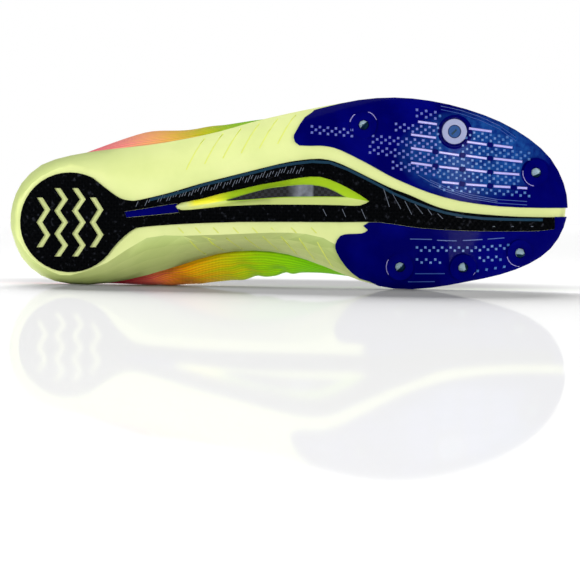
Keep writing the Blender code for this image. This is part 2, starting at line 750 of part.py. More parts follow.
def flank_grooves():
    """The slanting grooves of the foam's waist, at one pitch along each side."""
    cutters = []
    first, pitch, run, low, high = OUTER_GROOVES
    for k in range(GROOVES_OUTER):
        start = first + pitch * k
        cutters.append(groove(start, start + run, low, high))
    first, pitch, run, low, high = INNER_GROOVES
    for k in range(GROOVES_INNER):
        start = 2 * TOE_END - (first + pitch * k)
        cutters.append(groove(start, start - run, low, high))
    return cutters


def midsole():
    """The foam: flat underside, flanks, and a lip that cups the upper round its bed."""
    bm = bmesh.new()
    loops = [add_ring(bm, [ring.at(s) for s in stations()]) for ring in FLANK]
    lip_out, lip_in, bed = [], [], []
    for s in stations():
        lip = LIP_LINE.at(s).z
        lip_out.append(at_height(EDGE.inset(s, LIP_DRAFT), lip))
        lip_in.append(at_height(EDGE.inset(s, LIP_DRAFT + LIP_WALL), lip))
        bed.append(at_height(EDGE.inset(s, LIP_DRAFT + LIP_WALL), BED_LINE.at(s).z))
    loops += [add_ring(bm, points) for points in (lip_out, lip_in, bed)]
    for low, high in zip(loops, loops[1:]):
        bridge(bm, low, high)
    fill_across(bm, loops[0], ACROSS)
    fill_across(bm, loops[-1], 2)
    return combine(face_out(bm), "DIFFERENCE", [pocket(), *flank_grooves()])


def insole():
    """A thin sock liner on the foam's bed, inside the upper's wall."""
    margin = LIP_DRAFT + LIP_WALL + FIT + UPPER_WALL + FIT * 2
    bm = bmesh.new()
    loops = []
    for rise in (FIT, FIT + INSOLE_WALL):
        points = [at_height(EDGE.inset(s, margin), BED_LINE.at(s).z + rise) for s in stations()]
        loops.append(add_ring(bm, points))
    bridge(bm, loops[0], loops[1])
    fill_across(bm, loops[0], 2)
    fill_across(bm, loops[1], 2)
    return bm


def top_point(row, side):
    x, middle, half, size, height, _ = TOP[row]
    return Vector((x * LENGTH, (middle + side * half) * BALL_WIDTH, size * height))


def fullest_point(row, side):
    x, outer, inner, height = FULLEST[row]
    share = -outer if side == OUTER else inner
    low, high = lip_height(row, side), top_point(row, side).z
    return Vector((x * LENGTH, share * width_at(x), low + (high - low) * height))


TOP_LINE = Ring(top_point)
FULLEST_LINE = Ring(fullest_point)
CROWN_LINE = Ring(lambda row, side: Vector((0.0, 0.0, TOP[row][5])))


def top_at(station):
    """The top edge; past the throat both sides share the ridge."""
    other = 2 * TOE_END - station
    if THROAT_FRONT <= station <= 2 * TOE_END - THROAT_FRONT:
        return (TOP_LINE.at(station) + TOP_LINE.at(other)) * 0.5
    return TOP_LINE.at(station)


def bezier(a, b, c, d, t):
    k = 1 - t
    return a * k ** 3 + b * 3 * k * k * t + c * 3 * k * t * t + d * t ** 3


def upper_section(station):
    """The upper's outer face at one station, from the foam's bed up to its top edge."""
    wall_foot = EDGE.inset(station, LIP_DRAFT + LIP_WALL + FIT)
    bed, lip = BED_LINE.at(station).z, LIP_LINE.at(station).z
    foot = at_height(wall_foot, bed + FIT)
    waist = at_height(wall_foot, lip + FIT * 2)
    full, top = FULLEST_LINE.at(station), top_at(station)
    rise, out = full.z - waist.z, at_height(full - waist, 0.0)
    leave = waist + out * 0.5 + Vector((0.0, 0.0, rise * 0.25))
    arrive = full - Vector((0.0, 0.0, rise * 0.5))
    section = [foot, waist]
    section += [bezier(waist, leave, arrive, full, t) for t in (1 / 3, 2 / 3)]
    crown = min(1.0, max(0.0, CROWN_LINE.at(station).z))
    level, drop = at_height(full - top, 0.0), Vector((0.0, 0.0, full.z - top.z))
    leave = full - drop * 0.55
    arrive = top + level * (0.12 + 0.43 * crown) + drop * 0.45 * (1 - crown)
    section += [bezier(full, leave, arrive, top, k / SHOULDER_RUNS) for k in range(SHOULDER_RUNS)]
    section.append(top)
    return section


def outer_face():
    """The upper's outer face as an open sheet, its two sides joined along the ridge."""
    bm = bmesh.new()
    columns = [add_ring(bm, upper_section(s)) for s in stations()]
    for a, b in zip(columns, columns[1:] + columns[:1]):
        for k in range(len(a) - 1):
            bm.faces.new((a[k], b[k], b[k + 1], a[k + 1]))
    bmesh.ops.remove_doubles(bm, verts=bm.verts, dist=0.00002)
    bmesh.ops.recalc_face_normals(bm, faces=bm.faces)
    middle = Vector((LENGTH / 2, 0.0, TOE_HEIGHT))
    facing = sum((f.calc_center_median() - middle).dot(f.normal) * f.calc_area() for f in bm.faces)
    if facing < 0.0:
        bmesh.ops.reverse_faces(bm, faces=bm.faces)
    bm.normal_update()
    return bm


def walled(sheet, wall):
    """An open sheet given a wall on its inner side, as a closed hollow shell."""
    sheet.verts.index_update()
    outer = list(sheet.verts)
    inner = [sheet.verts.new(v.co - v.normal * wall) for v in outer]
    border = [(e.verts[0].index, e.verts[1].index) for e in sheet.edges if e.is_boundary]
    for face in list(sheet.faces):
        sheet.faces.new([inner[v.index] for v in reversed(face.verts)])
    for a, b in border:
        sheet.faces.new((outer[a], outer[b], inner[b], inner[a]))
    return face_out(sheet)


def upper():
    return walled(outer_face(), UPPER_WALL)


def throat_place(station, down):
    """A point of the upper's outer face a share down from its top edge, and its normal."""
    step = 0.02

    def point(s, share):
        section = upper_section(s)
        span = share * SHOULDER_RUNS
        low = min(SHOULDER_RUNS - 1, int(span))
        return section[-1 - low].lerp(section[-2 - low], span - low)

    here = point(station, down)
    along = point(station + step, down) - point(station - step, down)
    below = point(station, down + 0.05) - here
    normal = along.cross(below).normalized()
    return here, normal if normal.z > 0 else -normal


# The tongue's rows under the throat: station, and how far its wings reach under the upper
# as a share of the way down the upper's shoulder
TONGUE_ROWS = (
    (13.5, 0.34), (12.9, 0.34), (12.2, 0.34), (11.4, 0.34), (10.6, 0.32), (9.9, 0.22), (9.5, 0.08),
)


def tongue():
    """The tongue: a thin arch under both edges of the throat that rises out of the collar."""
    lift = UPPER_WALL + FIT * 3
    rows = []
    for station, reach in TONGUE_ROWS:
        sides = []
        for s in (station, 2 * TOE_END - station):
            side = []
            for down in (reach, reach / 2, 0.0):
                place, normal = throat_place(s, down)
                side.append(place - normal * lift)
            sides.append(side)
        left, right = sides[0][-1], sides[1][-1]
        gap = (right - left).length
        between = []
        for t in (0.25, 0.5, 0.75):
            bulge = gap * 0.25 * t * (1 - t)
            between.append(left.lerp(right, t) + Vector((0.0, 0.0, bulge)))
        rows.append(sides[0] + between + sides[1][::-1])
    last = rows[-1]
    middle = (left + right) * 0.5
    for rise, narrow in TONGUE_END_ROWS:
        shift = Vector((-0.85, 0.0, 1.0)) * TONGUE_RISE * rise
        row = []
        for p in last:
            level = middle.z + (p.z - middle.z) * (1 - rise) * 0.6
            row.append(Vector((p.x, middle.y + (p.y - middle.y) * narrow, level)) + shift)
        rows.append(row)
    bm = bmesh.new()
    grid = [[bm.verts.new(p) for p in row] for row in rows]
    for a, b in zip(grid, grid[1:]):
        for k in range(len(a) - 1):
            bm.faces.new((a[k], a[k + 1], b[k + 1], b[k]))
    bmesh.ops.remove_doubles(bm, verts=bm.verts, dist=0.00002)
    bmesh.ops.recalc_face_normals(bm, faces=bm.faces)
    if sum(face.normal.z * face.calc_area() for face in bm.faces) < 0.0:
        bmesh.ops.reverse_faces(bm, faces=bm.faces)
    bm.normal_update()
    return walled(bm, TONGUE_WALL)


def outer_shell(bm):
    """The solid without the small sealed hollows that crossing runs leave between them."""
    left, shells = set(bm.faces), []
    while left:
        shell, border = set(), [left.pop()]
        while border:
            face = border.pop()
            shell.add(face)
            for near in {near for edge in face.edges for near in edge.link_faces} & left:
                left.discard(near)
                border.append(near)
        shells.append(shell)
    shells.sort(key=lambda shell: sum(face.calc_area() for face in shell))
    hollows = [face for shell in shells[:-1] for face in shell]
    bmesh.ops.delete(bm, geom=hollows, context="FACES")
    return bm


def lace_strip(start_station, end_station, run):
    """One flat run of lace over the throat, from an eyelet row on one side to the other.
    Runs that share an eyelet lie on different layers."""
    clear = FIT * 4 + LACE_WALL / 2 + LACE_LAYER * (run % 4)
    line = []
    for down in (LACE_REACH, 0.0):
        place, normal = throat_place(start_station, down)
        line.append((place + normal * clear, normal))
    other = []
    for down in (0.0, LACE_REACH):
        place, normal = throat_place(2 * TOE_END - end_station, down)
        other.append((place + normal * clear, normal))
    normal = (line[-1][1] + other[0][1]).normalized()
    middle = (line[-1][0] + other[0][0]) * 0.5 + normal * (LACE_CROWN * (run % 2) + clear)
    line += [(middle, normal), *other]
    bm = bmesh.new()
    loops = []
    for i, (point, up) in enumerate(line):
        along = (line[min(i + 1, len(line) - 1)][0] - line[max(i - 1, 0)][0]).normalized()
        wide = along.cross(up).normalized() * LACE_WIDTH / 2
        thick = wide.cross(along).normalized() * LACE_WALL / 2
        corners = (wide + thick, thick - wide, -wide - thick, wide - thick)
        loops.append([bm.verts.new(point + corner) for corner in corners])
    for a, b in zip(loops, loops[1:]):
        bridge(bm, a, b)
    bm.faces.new(loops[0])
    bm.faces.new(loops[-1])
    return face_out(bm)


def lace():
    """Criss-cross runs and one straight bar at the front, joined into one solid."""
    runs = []
    for a, b in zip(LACE_ROWS, LACE_ROWS[1:]):
        runs.append(lace_strip(a, b, len(runs)))
        runs.append(lace_strip(b, a, len(runs)))
    bar = lace_strip(LACE_ROWS[-1], LACE_ROWS[-1], len(runs))
    return outer_shell(combine(bar, "UNION", runs))


def lay_down(pieces):
    """The turn that lays the standing shoe on its inner side: the face of its hull that
    points inwards and carries the balance point becomes the underside."""
    hull = bmesh.new()
    mass, balance = 0.0, Vector()
    for piece in pieces:
        bm = bmesh.new()
        bm.from_mesh(piece.data)
        bmesh.ops.triangulate(bm, faces=bm.faces)
        for face in bm.faces:
            a, b, c = (v.co for v in face.verts)
            share = a.dot(b.cross(c)) / 6.0 * piece["density"]
            mass += share
            balance += (a + b + c) / 4.0 * share
        for v in bm.verts:
            hull.verts.new(v.co)
        bm.free()
    balance /= mass
    bmesh.ops.convex_hull(hull, input=hull.verts)
    down = Vector((0.0, 1.0, 0.0))
    for face in hull.faces:
        if face.normal.y < 0.8:
            continue
        a, b, c = (v.co for v in face.verts[:3])
        sides = [(b - a).cross(balance - a), (c - b).cross(balance - b), (a - c).cross(balance - c)]
        if all(side.dot(face.normal) > 0.0 for side in sides):
            down = face.normal.copy()
    hull.free()
    up = -down
    ahead = (Vector((1.0, 0.0, 0.0)) - up * up.x).normalized()
    left = up.cross(ahead)
    turn = Matrix((ahead, left, up)).to_4x4()
    places = [turn @ v.co for piece in pieces for v in piece.data.vertices]
    low = Vector([min(p[k] for p in places) for k in range(3)])
    high = Vector([max(p[k] for p in places) for k in range(3)])
    middle = (low + high) / 2
    return Matrix.Translation((-middle.x, -middle.y, -low.z)) @ turn


def main():
    clear_scene()
    foam = material("pale_lime_foam", (0.72, 0.84, 0.33), 0.55)
    rubber = material("black_rubber", (0.006, 0.007, 0.011), 0.55)
    blue = material("royal_blue_plastic", (0.004, 0.008, 0.20), 0.25)
    steel = material("zinc_steel", (0.55, 0.56, 0.62), 0.3, 1.0)
    carbon = material("carbon_fibre", (0.03, 0.03, 0.035), 0.3)
    knit = material("knit_upper", (0.85, 0.30, 0.20), 0.85)
    liner = material("liner_cloth", (0.60, 0.75, 0.30), 0.9)
    cord = material("lace_cord", (0.72, 0.84, 0.33), 0.85)

    strip_room = prism(grown(strip_outline(), FIT))
    outer_corners = ((1.010, -0.80), (0.600, -0.90))
    inner_corners = ((0.690, 0.55), (1.010, 0.55))
    pieces = [
        add_object("midsole", midsole(), foam, FOAM),
        add_object("rubber_strip", rubber_strip(), rubber, RUBBER),
        add_object("waist_inlay", waist_inlay(), blue, PLASTIC),
        add_object("spike_plate_outer",
                   spike_plate(OUTER_PLATE_EDGE, outer_corners, OUTER_BOSSES, []),
                   blue, PLASTIC),
        add_object("spike_plate_inner",
                   spike_plate(INNER_PLATE_EDGE, inner_corners, INNER_BOSSES, [strip_room]),
                   blue, PLASTIC),
        add_object("carbon_plate", carbon_plate(), carbon, PLASTIC),
        add_object("washer", washer(OUTER_BOSSES[EMPTY_BOSS]), steel, METAL),
        add_object("blank_plug", blank_plug(OUTER_BOSSES[EMPTY_BOSS]), steel, METAL),
        add_object("upper", upper(), knit, CLOTH),
        add_object("insole", insole(), liner, CLOTH),
        add_object("tongue", tongue(), knit, CLOTH),
        add_object("lace", lace(), cord, CLOTH),
    ]
    pinned = [p for k, p in enumerate(OUTER_BOSSES) if k != EMPTY_BOSS] + list(INNER_BOSSES)
    for number, place in enumerate(pinned, start=1):
        pieces.append(add_object(f"spike_{number}", spike(place), steel, METAL))

    stand = bpy.data.objects.new("standing_frame", None)
    bpy.context.collection.objects.link(stand)
    stand.matrix_world = lay_down(pieces)
    for piece in pieces:
        piece.parent = stand


main()
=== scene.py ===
import math

import bmesh
import bpy
from mathutils import Matrix, Vector
from mathutils.bvhtree import BVHTree


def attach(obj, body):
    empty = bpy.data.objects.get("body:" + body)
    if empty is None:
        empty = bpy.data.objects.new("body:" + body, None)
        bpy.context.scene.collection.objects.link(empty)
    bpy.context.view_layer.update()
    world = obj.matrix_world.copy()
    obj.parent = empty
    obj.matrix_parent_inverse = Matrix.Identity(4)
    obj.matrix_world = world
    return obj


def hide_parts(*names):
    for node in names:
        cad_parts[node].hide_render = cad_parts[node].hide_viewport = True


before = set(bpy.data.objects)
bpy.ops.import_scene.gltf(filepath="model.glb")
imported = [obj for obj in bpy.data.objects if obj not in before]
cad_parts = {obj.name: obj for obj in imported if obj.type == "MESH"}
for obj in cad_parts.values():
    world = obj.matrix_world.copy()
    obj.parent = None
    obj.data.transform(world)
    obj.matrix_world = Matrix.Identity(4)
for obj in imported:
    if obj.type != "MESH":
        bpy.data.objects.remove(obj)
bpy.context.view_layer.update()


# Midsole: one slab of pale lime EVA foam, moulded hot, with a soft matt skin. It cups the
# upper all round; slanting grooves are moulded in its waist, and a long pocket with a bevel
# opens it under the arch. Groove floors and the pocket show a yellower, glossier skin.
FOAM_LIME = "E9F2A2"
FOAM_PALE = "DDE994"
FOAM_PAINTED_SHADE = "B8CC74"
GROOVE_YELLOW = "E6F070"
POCKET_LIME = "B2DA1C"
POCKET_YELLOW = "FFFA30"
POCKET_PAINTED_LIGHT = "E0EB92"
RIM_PAINTED_HIGHLIGHT = "F2F8CE"
MERGE = 0.00001
SHARP_FOAM = 34.0
GROOVE_AREA = 60e-6
GROOVE_LIFT = 0.0007
RIM_ROUND = 0.0006
POCKET_AREA = 2000e-6
POCKET_FACE = -0.030
POCKET_X = (-0.0585, 0.0430)
POCKET_Z = (0.0330, 0.0560)
# How the foam's painted shade grows with the inner side's lean to the floor, and fades where it faces
# straight down
LEAN_FROM = 0.14
LEAN_GAIN = 5.0
LEAN_STOP = 1.9
LEAN_FALL = 2.0


def linear(hex_colour):
    """An sRGB hex colour as linear RGBA."""
    shares = [int(hex_colour[k:k + 2], 16) / 255.0 for k in (0, 2, 4)]
    return (*[s / 12.92 if s <= 0.04045 else ((s + 0.055) / 1.055) ** 2.4 for s in shares], 1.0)


def new_material(name, values):
    """A material whose shader's sockets hold the given values."""
    mat = bpy.data.materials.new(name)
    mat.use_nodes = True
    shader = mat.node_tree.nodes["Principled BSDF"]
    for socket, value in values.items():
        shader.inputs[socket].default_value = value
    return mat, mat.node_tree, shader


def plain_material(name, colour, values):
    """A material of one colour whose shader's other sockets hold the given values."""
    mat, _, shader = new_material(name, values)
    shader.inputs["Base Color"].default_value = linear(colour)
    return mat


def add(tree, kind, settings, inputs):
    """A shader node with its settings and its input values or links."""
    made = tree.nodes.new("ShaderNode" + kind)
    for name, value in settings.items():
        setattr(made, name, value)
    for name, value in inputs.items():
        if isinstance(value, bpy.types.NodeSocket):
            tree.links.new(value, made.inputs[name])
        else:
            made.inputs[name].default_value = value
    return made


def remap(tree, value, start, end, first=0.0, last=1.0, smooth=False):
    """A value's share of the way from start to end, spread from first to last."""
    kind = "SMOOTHSTEP" if smooth else "LINEAR"
    return add(tree, "MapRange", {"interpolation_type": kind}, {
        "Value": value, "From Min": start, "From Max": end, "To Min": first, "To Max": last}).outputs[0]


def blend(tree, share, below, above):
    """One colour passing into another by a share."""
    return add(tree, "Mix", {"data_type": "RGBA"}, {0: share, 6: below, 7: above}).outputs[2]


def noise(tree, place, scale, detail):
    """Cloudy noise of some scale, as a value."""
    return add(tree, "TexNoise", {}, {"Vector": place, "Scale": scale, "Detail": detail}).outputs["Fac"]


def ramp(tree, value, stops):
    """The colour of a value on a line of colour stops."""
    made = add(tree, "ValToRGB", {}, {"Fac": value})
    while len(made.color_ramp.elements) < len(stops):
        made.color_ramp.elements.new(0.5)
    for stop, (position, colour) in zip(made.color_ramp.elements, stops):
        stop.position = position
        stop.color = colour
    return made.outputs[0]


def bump(tree, shader, strength, distance, height):
    """Fine relief on a material's skin."""
    made = add(tree, "Bump", {}, {"Strength": strength, "Distance": distance, "Height": height})
    tree.links.new(made.outputs[0], shader.inputs["Normal"])


def merged_copy(node):
    """A CAD node's mesh with its loose triangles merged into one skin."""
    bm = bmesh.new()
    bm.from_mesh(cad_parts[node].data)
    bmesh.ops.remove_doubles(bm, verts=bm.verts, dist=MERGE)
    bmesh.ops.dissolve_limit(bm, angle_limit=math.radians(0.4), verts=bm.verts, edges=bm.edges)
    return bm


def make_piece(bm, name, sharp, *materials):
    """An object at the origin, shaded smooth but for edges sharper than an angle."""
    for face in bm.faces:
        face.smooth = True
    for edge in bm.edges:
        edge.smooth = edge.calc_face_angle(0.0) < math.radians(sharp)
    mesh = bpy.data.meshes.new(name)
    bm.to_mesh(mesh)
    bm.free()
    for mat in materials:
        mesh.materials.append(mat)
    piece = bpy.data.objects.new(name, mesh)
    bpy.context.scene.collection.objects.link(piece)
    return piece


def patches(bm, sharp):
    """Lists of faces that meet across edges flatter than an angle."""
    limit = math.radians(sharp)
    left, found = set(bm.faces), []
    while left:
        patch, border = [], [left.pop()]
        while border:
            face = border.pop()
            patch.append(face)
            for edge in face.edges:
                if edge.calc_face_angle(0.0) < limit:
                    for near in edge.link_faces:
                        if near in left:
                            left.discard(near)
                            border.append(near)
        found.append(patch)
    return found


# EVA foam skin: matt, faintly mottled, with the fine orange peel of a steel mould. Painted shade
# deepens its tone on the inner side and, at the heel, where the edge turns up from the sole
foam, tree, shader = new_material("EVA_foam_moulded", {"Roughness": 0.62, "IOR": 1.48})
place = add(tree, "TexCoord", {}, {}).outputs["Object"]
mottle = noise(tree, place, 45.0, 3.0)
skin = noise(tree, place, 1400.0, 2.0)
tint = ramp(tree, mottle, [(0.25, linear(FOAM_PALE)), (0.7, linear(FOAM_LIME))])
# Painted shade: by the inner side's lean, kept per face, and at the heel by how far the edge turns up
flank_painted_shade = add(tree, "Attribute", {"attribute_name": "flank_painted_shade"}, {})
slope = add(tree, "SeparateXYZ", {}, {"Vector": add(tree, "NewGeometry", {}, {}).outputs["Normal"]})
heel_turn_painted_shade = remap(tree, slope.outputs["Y"], -0.97, -0.45, 0.0, 0.55)
axes = add(tree, "SeparateXYZ", {}, {"Vector": place})
waist = remap(tree, axes.outputs["X"], -0.105, -0.060, smooth=True)
shaded = add(tree, "Mix", {}, {0: waist, 2: heel_turn_painted_shade, 3: flank_painted_shade.outputs["Fac"]})
tone = blend(tree, shaded.outputs[0], tint, linear(FOAM_PAINTED_SHADE))
tree.links.new(tone, shader.inputs["Base Color"])
bump(tree, shader, 0.12, 0.0004, skin)

# The same foam in the grooves and on the dashes: yellower and smoother
groove_foam = plain_material("EVA_foam_groove", GROOVE_YELLOW, {"Roughness": 0.45, "IOR": 1.48})

# Pocket skin: a pale painted highlight at the heel end, then bright yellow, then lime towards the toe.
# The lower bevel, which faces up, is pale all along: painted light on the faces turned up
pocket_foam, tree, shader = new_material("EVA_foam_pocket", {"Roughness": 0.42, "IOR": 1.48})
place = add(tree, "TexCoord", {}, {}).outputs["Object"]
axes = add(tree, "SeparateXYZ", {}, {"Vector": place})
along = ramp(tree, remap(tree, axes.outputs["X"], -0.057, -0.012),
             [(0.0, linear(POCKET_PAINTED_LIGHT)), (0.10, linear(POCKET_PAINTED_LIGHT)), (0.20, linear(POCKET_YELLOW)),
              (0.42, linear(POCKET_YELLOW)), (0.62, linear(POCKET_LIME)), (1.0, linear(POCKET_LIME))])
# Painted light: faces that turn up take the pale colour
slope = add(tree, "SeparateXYZ", {}, {"Vector": add(tree, "NewGeometry", {}, {}).outputs["Normal"]})
lit = remap(tree, slope.outputs["Z"], 0.05, 0.30)
hue = blend(tree, lit, along, linear(POCKET_PAINTED_LIGHT))
tree.links.new(hue, shader.inputs["Base Color"])

# The pocket's rounded rim shows as a pale line: a painted highlight
rim_painted_highlight_foam = plain_material("EVA_foam_rim_painted_highlight", RIM_PAINTED_HIGHLIGHT, {"Roughness": 0.4, "IOR": 1.48})

bm = merged_copy("midsole")
kinds = {}
for patch in patches(bm, SHARP_FOAM):
    area = sum(face.calc_area() for face in patch)
    middle = sum((face.calc_center_median() * face.calc_area() for face in patch), Vector()) / area
    in_pocket = POCKET_X[0] < middle.x < POCKET_X[1] and POCKET_Z[0] < middle.z < POCKET_Z[1]
    if in_pocket and area < POCKET_AREA and middle.y < POCKET_FACE:
        number = 2
    else:
        number = 1 if area < GROOVE_AREA else 0
    for face in patch:
        face.material_index = number
        kinds[face] = number
bm.normal_update()
for vert in bm.verts:
    if all(kinds[face] == 1 for face in vert.link_faces):
        floor_face = max(vert.link_faces, key=lambda face: abs(face.normal.y))
        vert.co += floor_face.normal * GROOVE_LIFT
weight = bm.edges.layers.float.new("bevel_weight_edge")
for edge in bm.edges:
    if {kinds[face] for face in edge.link_faces} == {0, 2}:
        edge[weight] = 1.0
# Painted shade on the inner side where it leans to the floor; it fades where the face turns
# straight down, which is left pale as painted light, since little light reaches it
painted_shade_by_lean = [max(0.0, min(1.0, (-face.normal.z - LEAN_FROM) * LEAN_GAIN,
                      LEAN_STOP + face.normal.z * LEAN_FALL)) for face in bm.faces]
midsole = make_piece(bm, "foam_midsole", SHARP_FOAM, foam, groove_foam, pocket_foam, rim_painted_highlight_foam)
midsole.data.attributes.new("flank_painted_shade", "FLOAT", "FACE").data.foreach_set("value", painted_shade_by_lean)
# The rounded rim between foam and pocket carries the painted highlight
rim_round = midsole.modifiers.new("rim", "BEVEL")
rim_round.limit_method = "WEIGHT"
rim_round.width = RIM_ROUND
rim_round.segments = 3
rim_round.material = 3
midsole.modifiers.new("shading", "WEIGHTED_NORMAL").keep_sharp = True
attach(midsole, "root")
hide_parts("midsole")


# Carbon blade: a woven carbon laminate under clear resin that stiffens the foam. Only the
# bottom of the pocket shows it, with a silvery painted highlight on a patch where the weave catches the
# light.
CARBON_DARK = "0B0C10"
CARBON_PAINTED_SHEEN = "25272E"
CARBON_PAINTED_HIGHLIGHT = "A9ADC2"
TOW_MM = 1.6


def worked(tree, operation, *values):
    """What a math node makes of its values."""
    return add(tree, "Math", {"operation": operation}, dict(enumerate(values))).outputs[0]


# Twill laminate: black tows under a hard clear coat; their shine by turns is painted as lighter squares
carbon, tree, shader = new_material("carbon_twill_laminate", {
    "Roughness": 0.35, "Specular IOR Level": 0.2, "Coat Weight": 0.15, "Coat Roughness": 0.12})
place = add(tree, "TexCoord", {}, {}).outputs["Object"]
turned = add(tree, "Mapping", {}, {"Vector": place, "Rotation": (math.radians(90), 0, 0),
                                   "Scale": (1000 / TOW_MM,) * 3})
weave = add(tree, "TexChecker", {}, {"Vector": turned.outputs[0], "Scale": 1.0,
                                     "Color1": linear(CARBON_DARK), "Color2": linear(CARBON_PAINTED_SHEEN)})
cloud = noise(tree, place, 260.0, 4.0)
axes = add(tree, "SeparateXYZ", {}, {"Vector": place})
# A patch of painted highlight on the blade, broken up by cloud
patch_on = remap(tree, axes.outputs["X"], -0.0010, 0.0050)
patch_off = remap(tree, axes.outputs["X"], 0.0115, 0.0125, 1.0, 0.0)
patch = worked(tree, "MULTIPLY", patch_on, patch_off)
painted_highlight_share = worked(tree, "MULTIPLY", patch, cloud)
sheen = blend(tree, painted_highlight_share, weave.outputs["Color"], linear(CARBON_PAINTED_HIGHLIGHT))
tree.links.new(sheen, shader.inputs["Base Color"])

blade = make_piece(merged_copy("carbon_plate"), "carbon_blade", 30.0, carbon)
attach(blade, "root")
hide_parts("carbon_plate")


# Heel disc, two arms and forefoot strip: hard-wearing black rubber in one moulding, cemented
# under the foam. Its face has a fine diamond grip, and its smooth rim shows a teal tint.
RUBBER_BLACK = "010204"
RUBBER_DUST_AND_GLINT = "2E3038"
RUBBER_TEAL = "1C3E54"
GRIP_MM = 1.15
RIM_WIDTH = 0.0005
SEAM_CLOSE = 0.0002

# Carbon-filled rubber: near black, satin, with a raised diamond grip, and grey-blue flecks that
# are partly dust and partly painted glints
rubber, tree, shader = new_material("black_rubber_moulded", {
    "Roughness": 0.42, "IOR": 1.52, "Specular IOR Level": 0.02})
place = add(tree, "TexCoord", {}, {}).outputs["Object"]
ridges = []
for turn in (40.0, -40.0):
    turned = add(tree, "Mapping", {}, {"Vector": place, "Rotation": (0, math.radians(turn), 0),
                                       "Scale": (1000 / GRIP_MM / 3.14159 / 2,) * 3})
    ridges.append(add(tree, "TexWave", {"bands_direction": "X"}, {
        "Vector": turned.outputs[0], "Scale": 1.0, "Distortion": 0.0}))
diamond = worked(tree, "MULTIPLY", ridges[0].outputs["Fac"], ridges[1].outputs["Fac"])
fleck_noise = noise(tree, place, 420.0, 4.0)
dust_and_glints = ramp(tree, fleck_noise, [(0.60, linear(RUBBER_BLACK)), (0.74, linear(RUBBER_DUST_AND_GLINT))])
tree.links.new(dust_and_glints, shader.inputs["Base Color"])
bump(tree, shader, 0.8, 0.0004, diamond)
rim = plain_material("black_rubber_rim", RUBBER_TEAL, {
    "Roughness": 0.35, "IOR": 1.52, "Specular IOR Level": 0.05})


def soft_edges(piece, width, segments, angle, material=-1):
    """Rounds a piece's sharp edges, with levels alike in view and render."""
    bevel = piece.modifiers.new("edges", "BEVEL")
    bevel.width = width
    bevel.segments = segments
    bevel.limit_method = "ANGLE"
    bevel.angle_limit = math.radians(angle)
    bevel.material = material
    bevel.harden_normals = True
    return bevel


bm = merged_copy("rubber_strip")
bm.normal_update()
for vert in bm.verts:
    vert.co += vert.normal * SEAM_CLOSE
strip = make_piece(bm, "rubber_outsole", 40.0, rubber, rim)
soft_edges(strip, RIM_WIDTH, 2, 50.0, 1)
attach(strip, "root")
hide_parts("rubber_strip")


# Spike plates and waist web: glossy royal blue nylon, injection moulded and cemented on.
# The plates carry six threaded bosses; dashed ribs and small studs stand on their face.
PLATE_BLUE = "000062"
PLATE_CLOUD = "02047A"
PLATE_PAINTED_LIGHT = "1C509E"
RIB_PAINTED_HIGHLIGHT = "C0B8FF"
STUD_PAINTED_HIGHLIGHT = "4476C0"
BAND_PAINTED_HIGHLIGHT = "6A76CC"
LINE_PAINTED_HIGHLIGHT = "2C52A8"
# The toe boss and the washer's boss are kept free of the painted light: place and reach of the round
# kept dark
DARK_BOSSES = (((0.1256, 0.0, 0.0600), 0.0078), ((0.0838, 0.0, 0.0802), 0.0088))

# Moulded nylon: deep saturated blue, glossy, with painted light: speckled lighter over the ribbed part,
# where the ribs scatter the light
plate_nylon, tree, shader = new_material("blue_nylon_moulded", {
    "Roughness": 0.14, "IOR": 1.53, "Specular IOR Level": 0.012})
place = add(tree, "TexCoord", {}, {}).outputs["Object"]
cloud = noise(tree, place, 60.0, 3.0)
tone = ramp(tree, cloud, [(0.42, linear(PLATE_BLUE)), (0.75, linear(PLATE_CLOUD))])
# Painted light: lighter speckles over the ribbed part of the outer plate
relief_zone = add(tree, "Mapping", {}, {"Vector": place, "Location": (-2.20, 0.0, -2.76),
                                        "Scale": (23.5, 0.0, 40.0)})
reach = add(tree, "VectorMath", {"operation": "LENGTH"}, {0: relief_zone.outputs[0]})
near = remap(tree, reach.outputs["Value"], 0.62, 0.95, 1.0, 0.0)
flat_place = add(tree, "Mapping", {}, {"Vector": place, "Scale": (1.0, 0.0, 1.0)})
for boss, clear_round in DARK_BOSSES:
    away = add(tree, "VectorMath", {"operation": "DISTANCE"}, {0: flat_place.outputs[0], 1: boss})
    clear = worked(tree, "GREATER_THAN", away.outputs["Value"], clear_round)
    near = worked(tree, "MULTIPLY", near, clear)
speckle = noise(tree, place, 330.0, 3.0)
speckled = remap(tree, speckle, 0.35, 0.65, 0.35, 1.0)
painted_light_share = worked(tree, "MULTIPLY", near, speckled)
tone = blend(tree, painted_light_share, tone, linear(PLATE_PAINTED_LIGHT))
tree.links.new(tone, shader.inputs["Base Color"])
bump(tree, shader, 0.05, 0.0006, cloud)

for node, name in (("spike_plate_outer", "outer_spike_plate"),
                   ("spike_plate_inner", "inner_spike_plate"),
                   ("waist_inlay", "waist_web")):
    plate = make_piece(merged_copy(node), name, 35.0, plate_nylon)
    soft_edges(plate, 0.00035, 2, 45.0)
    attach(plate, "root")
    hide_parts(node)

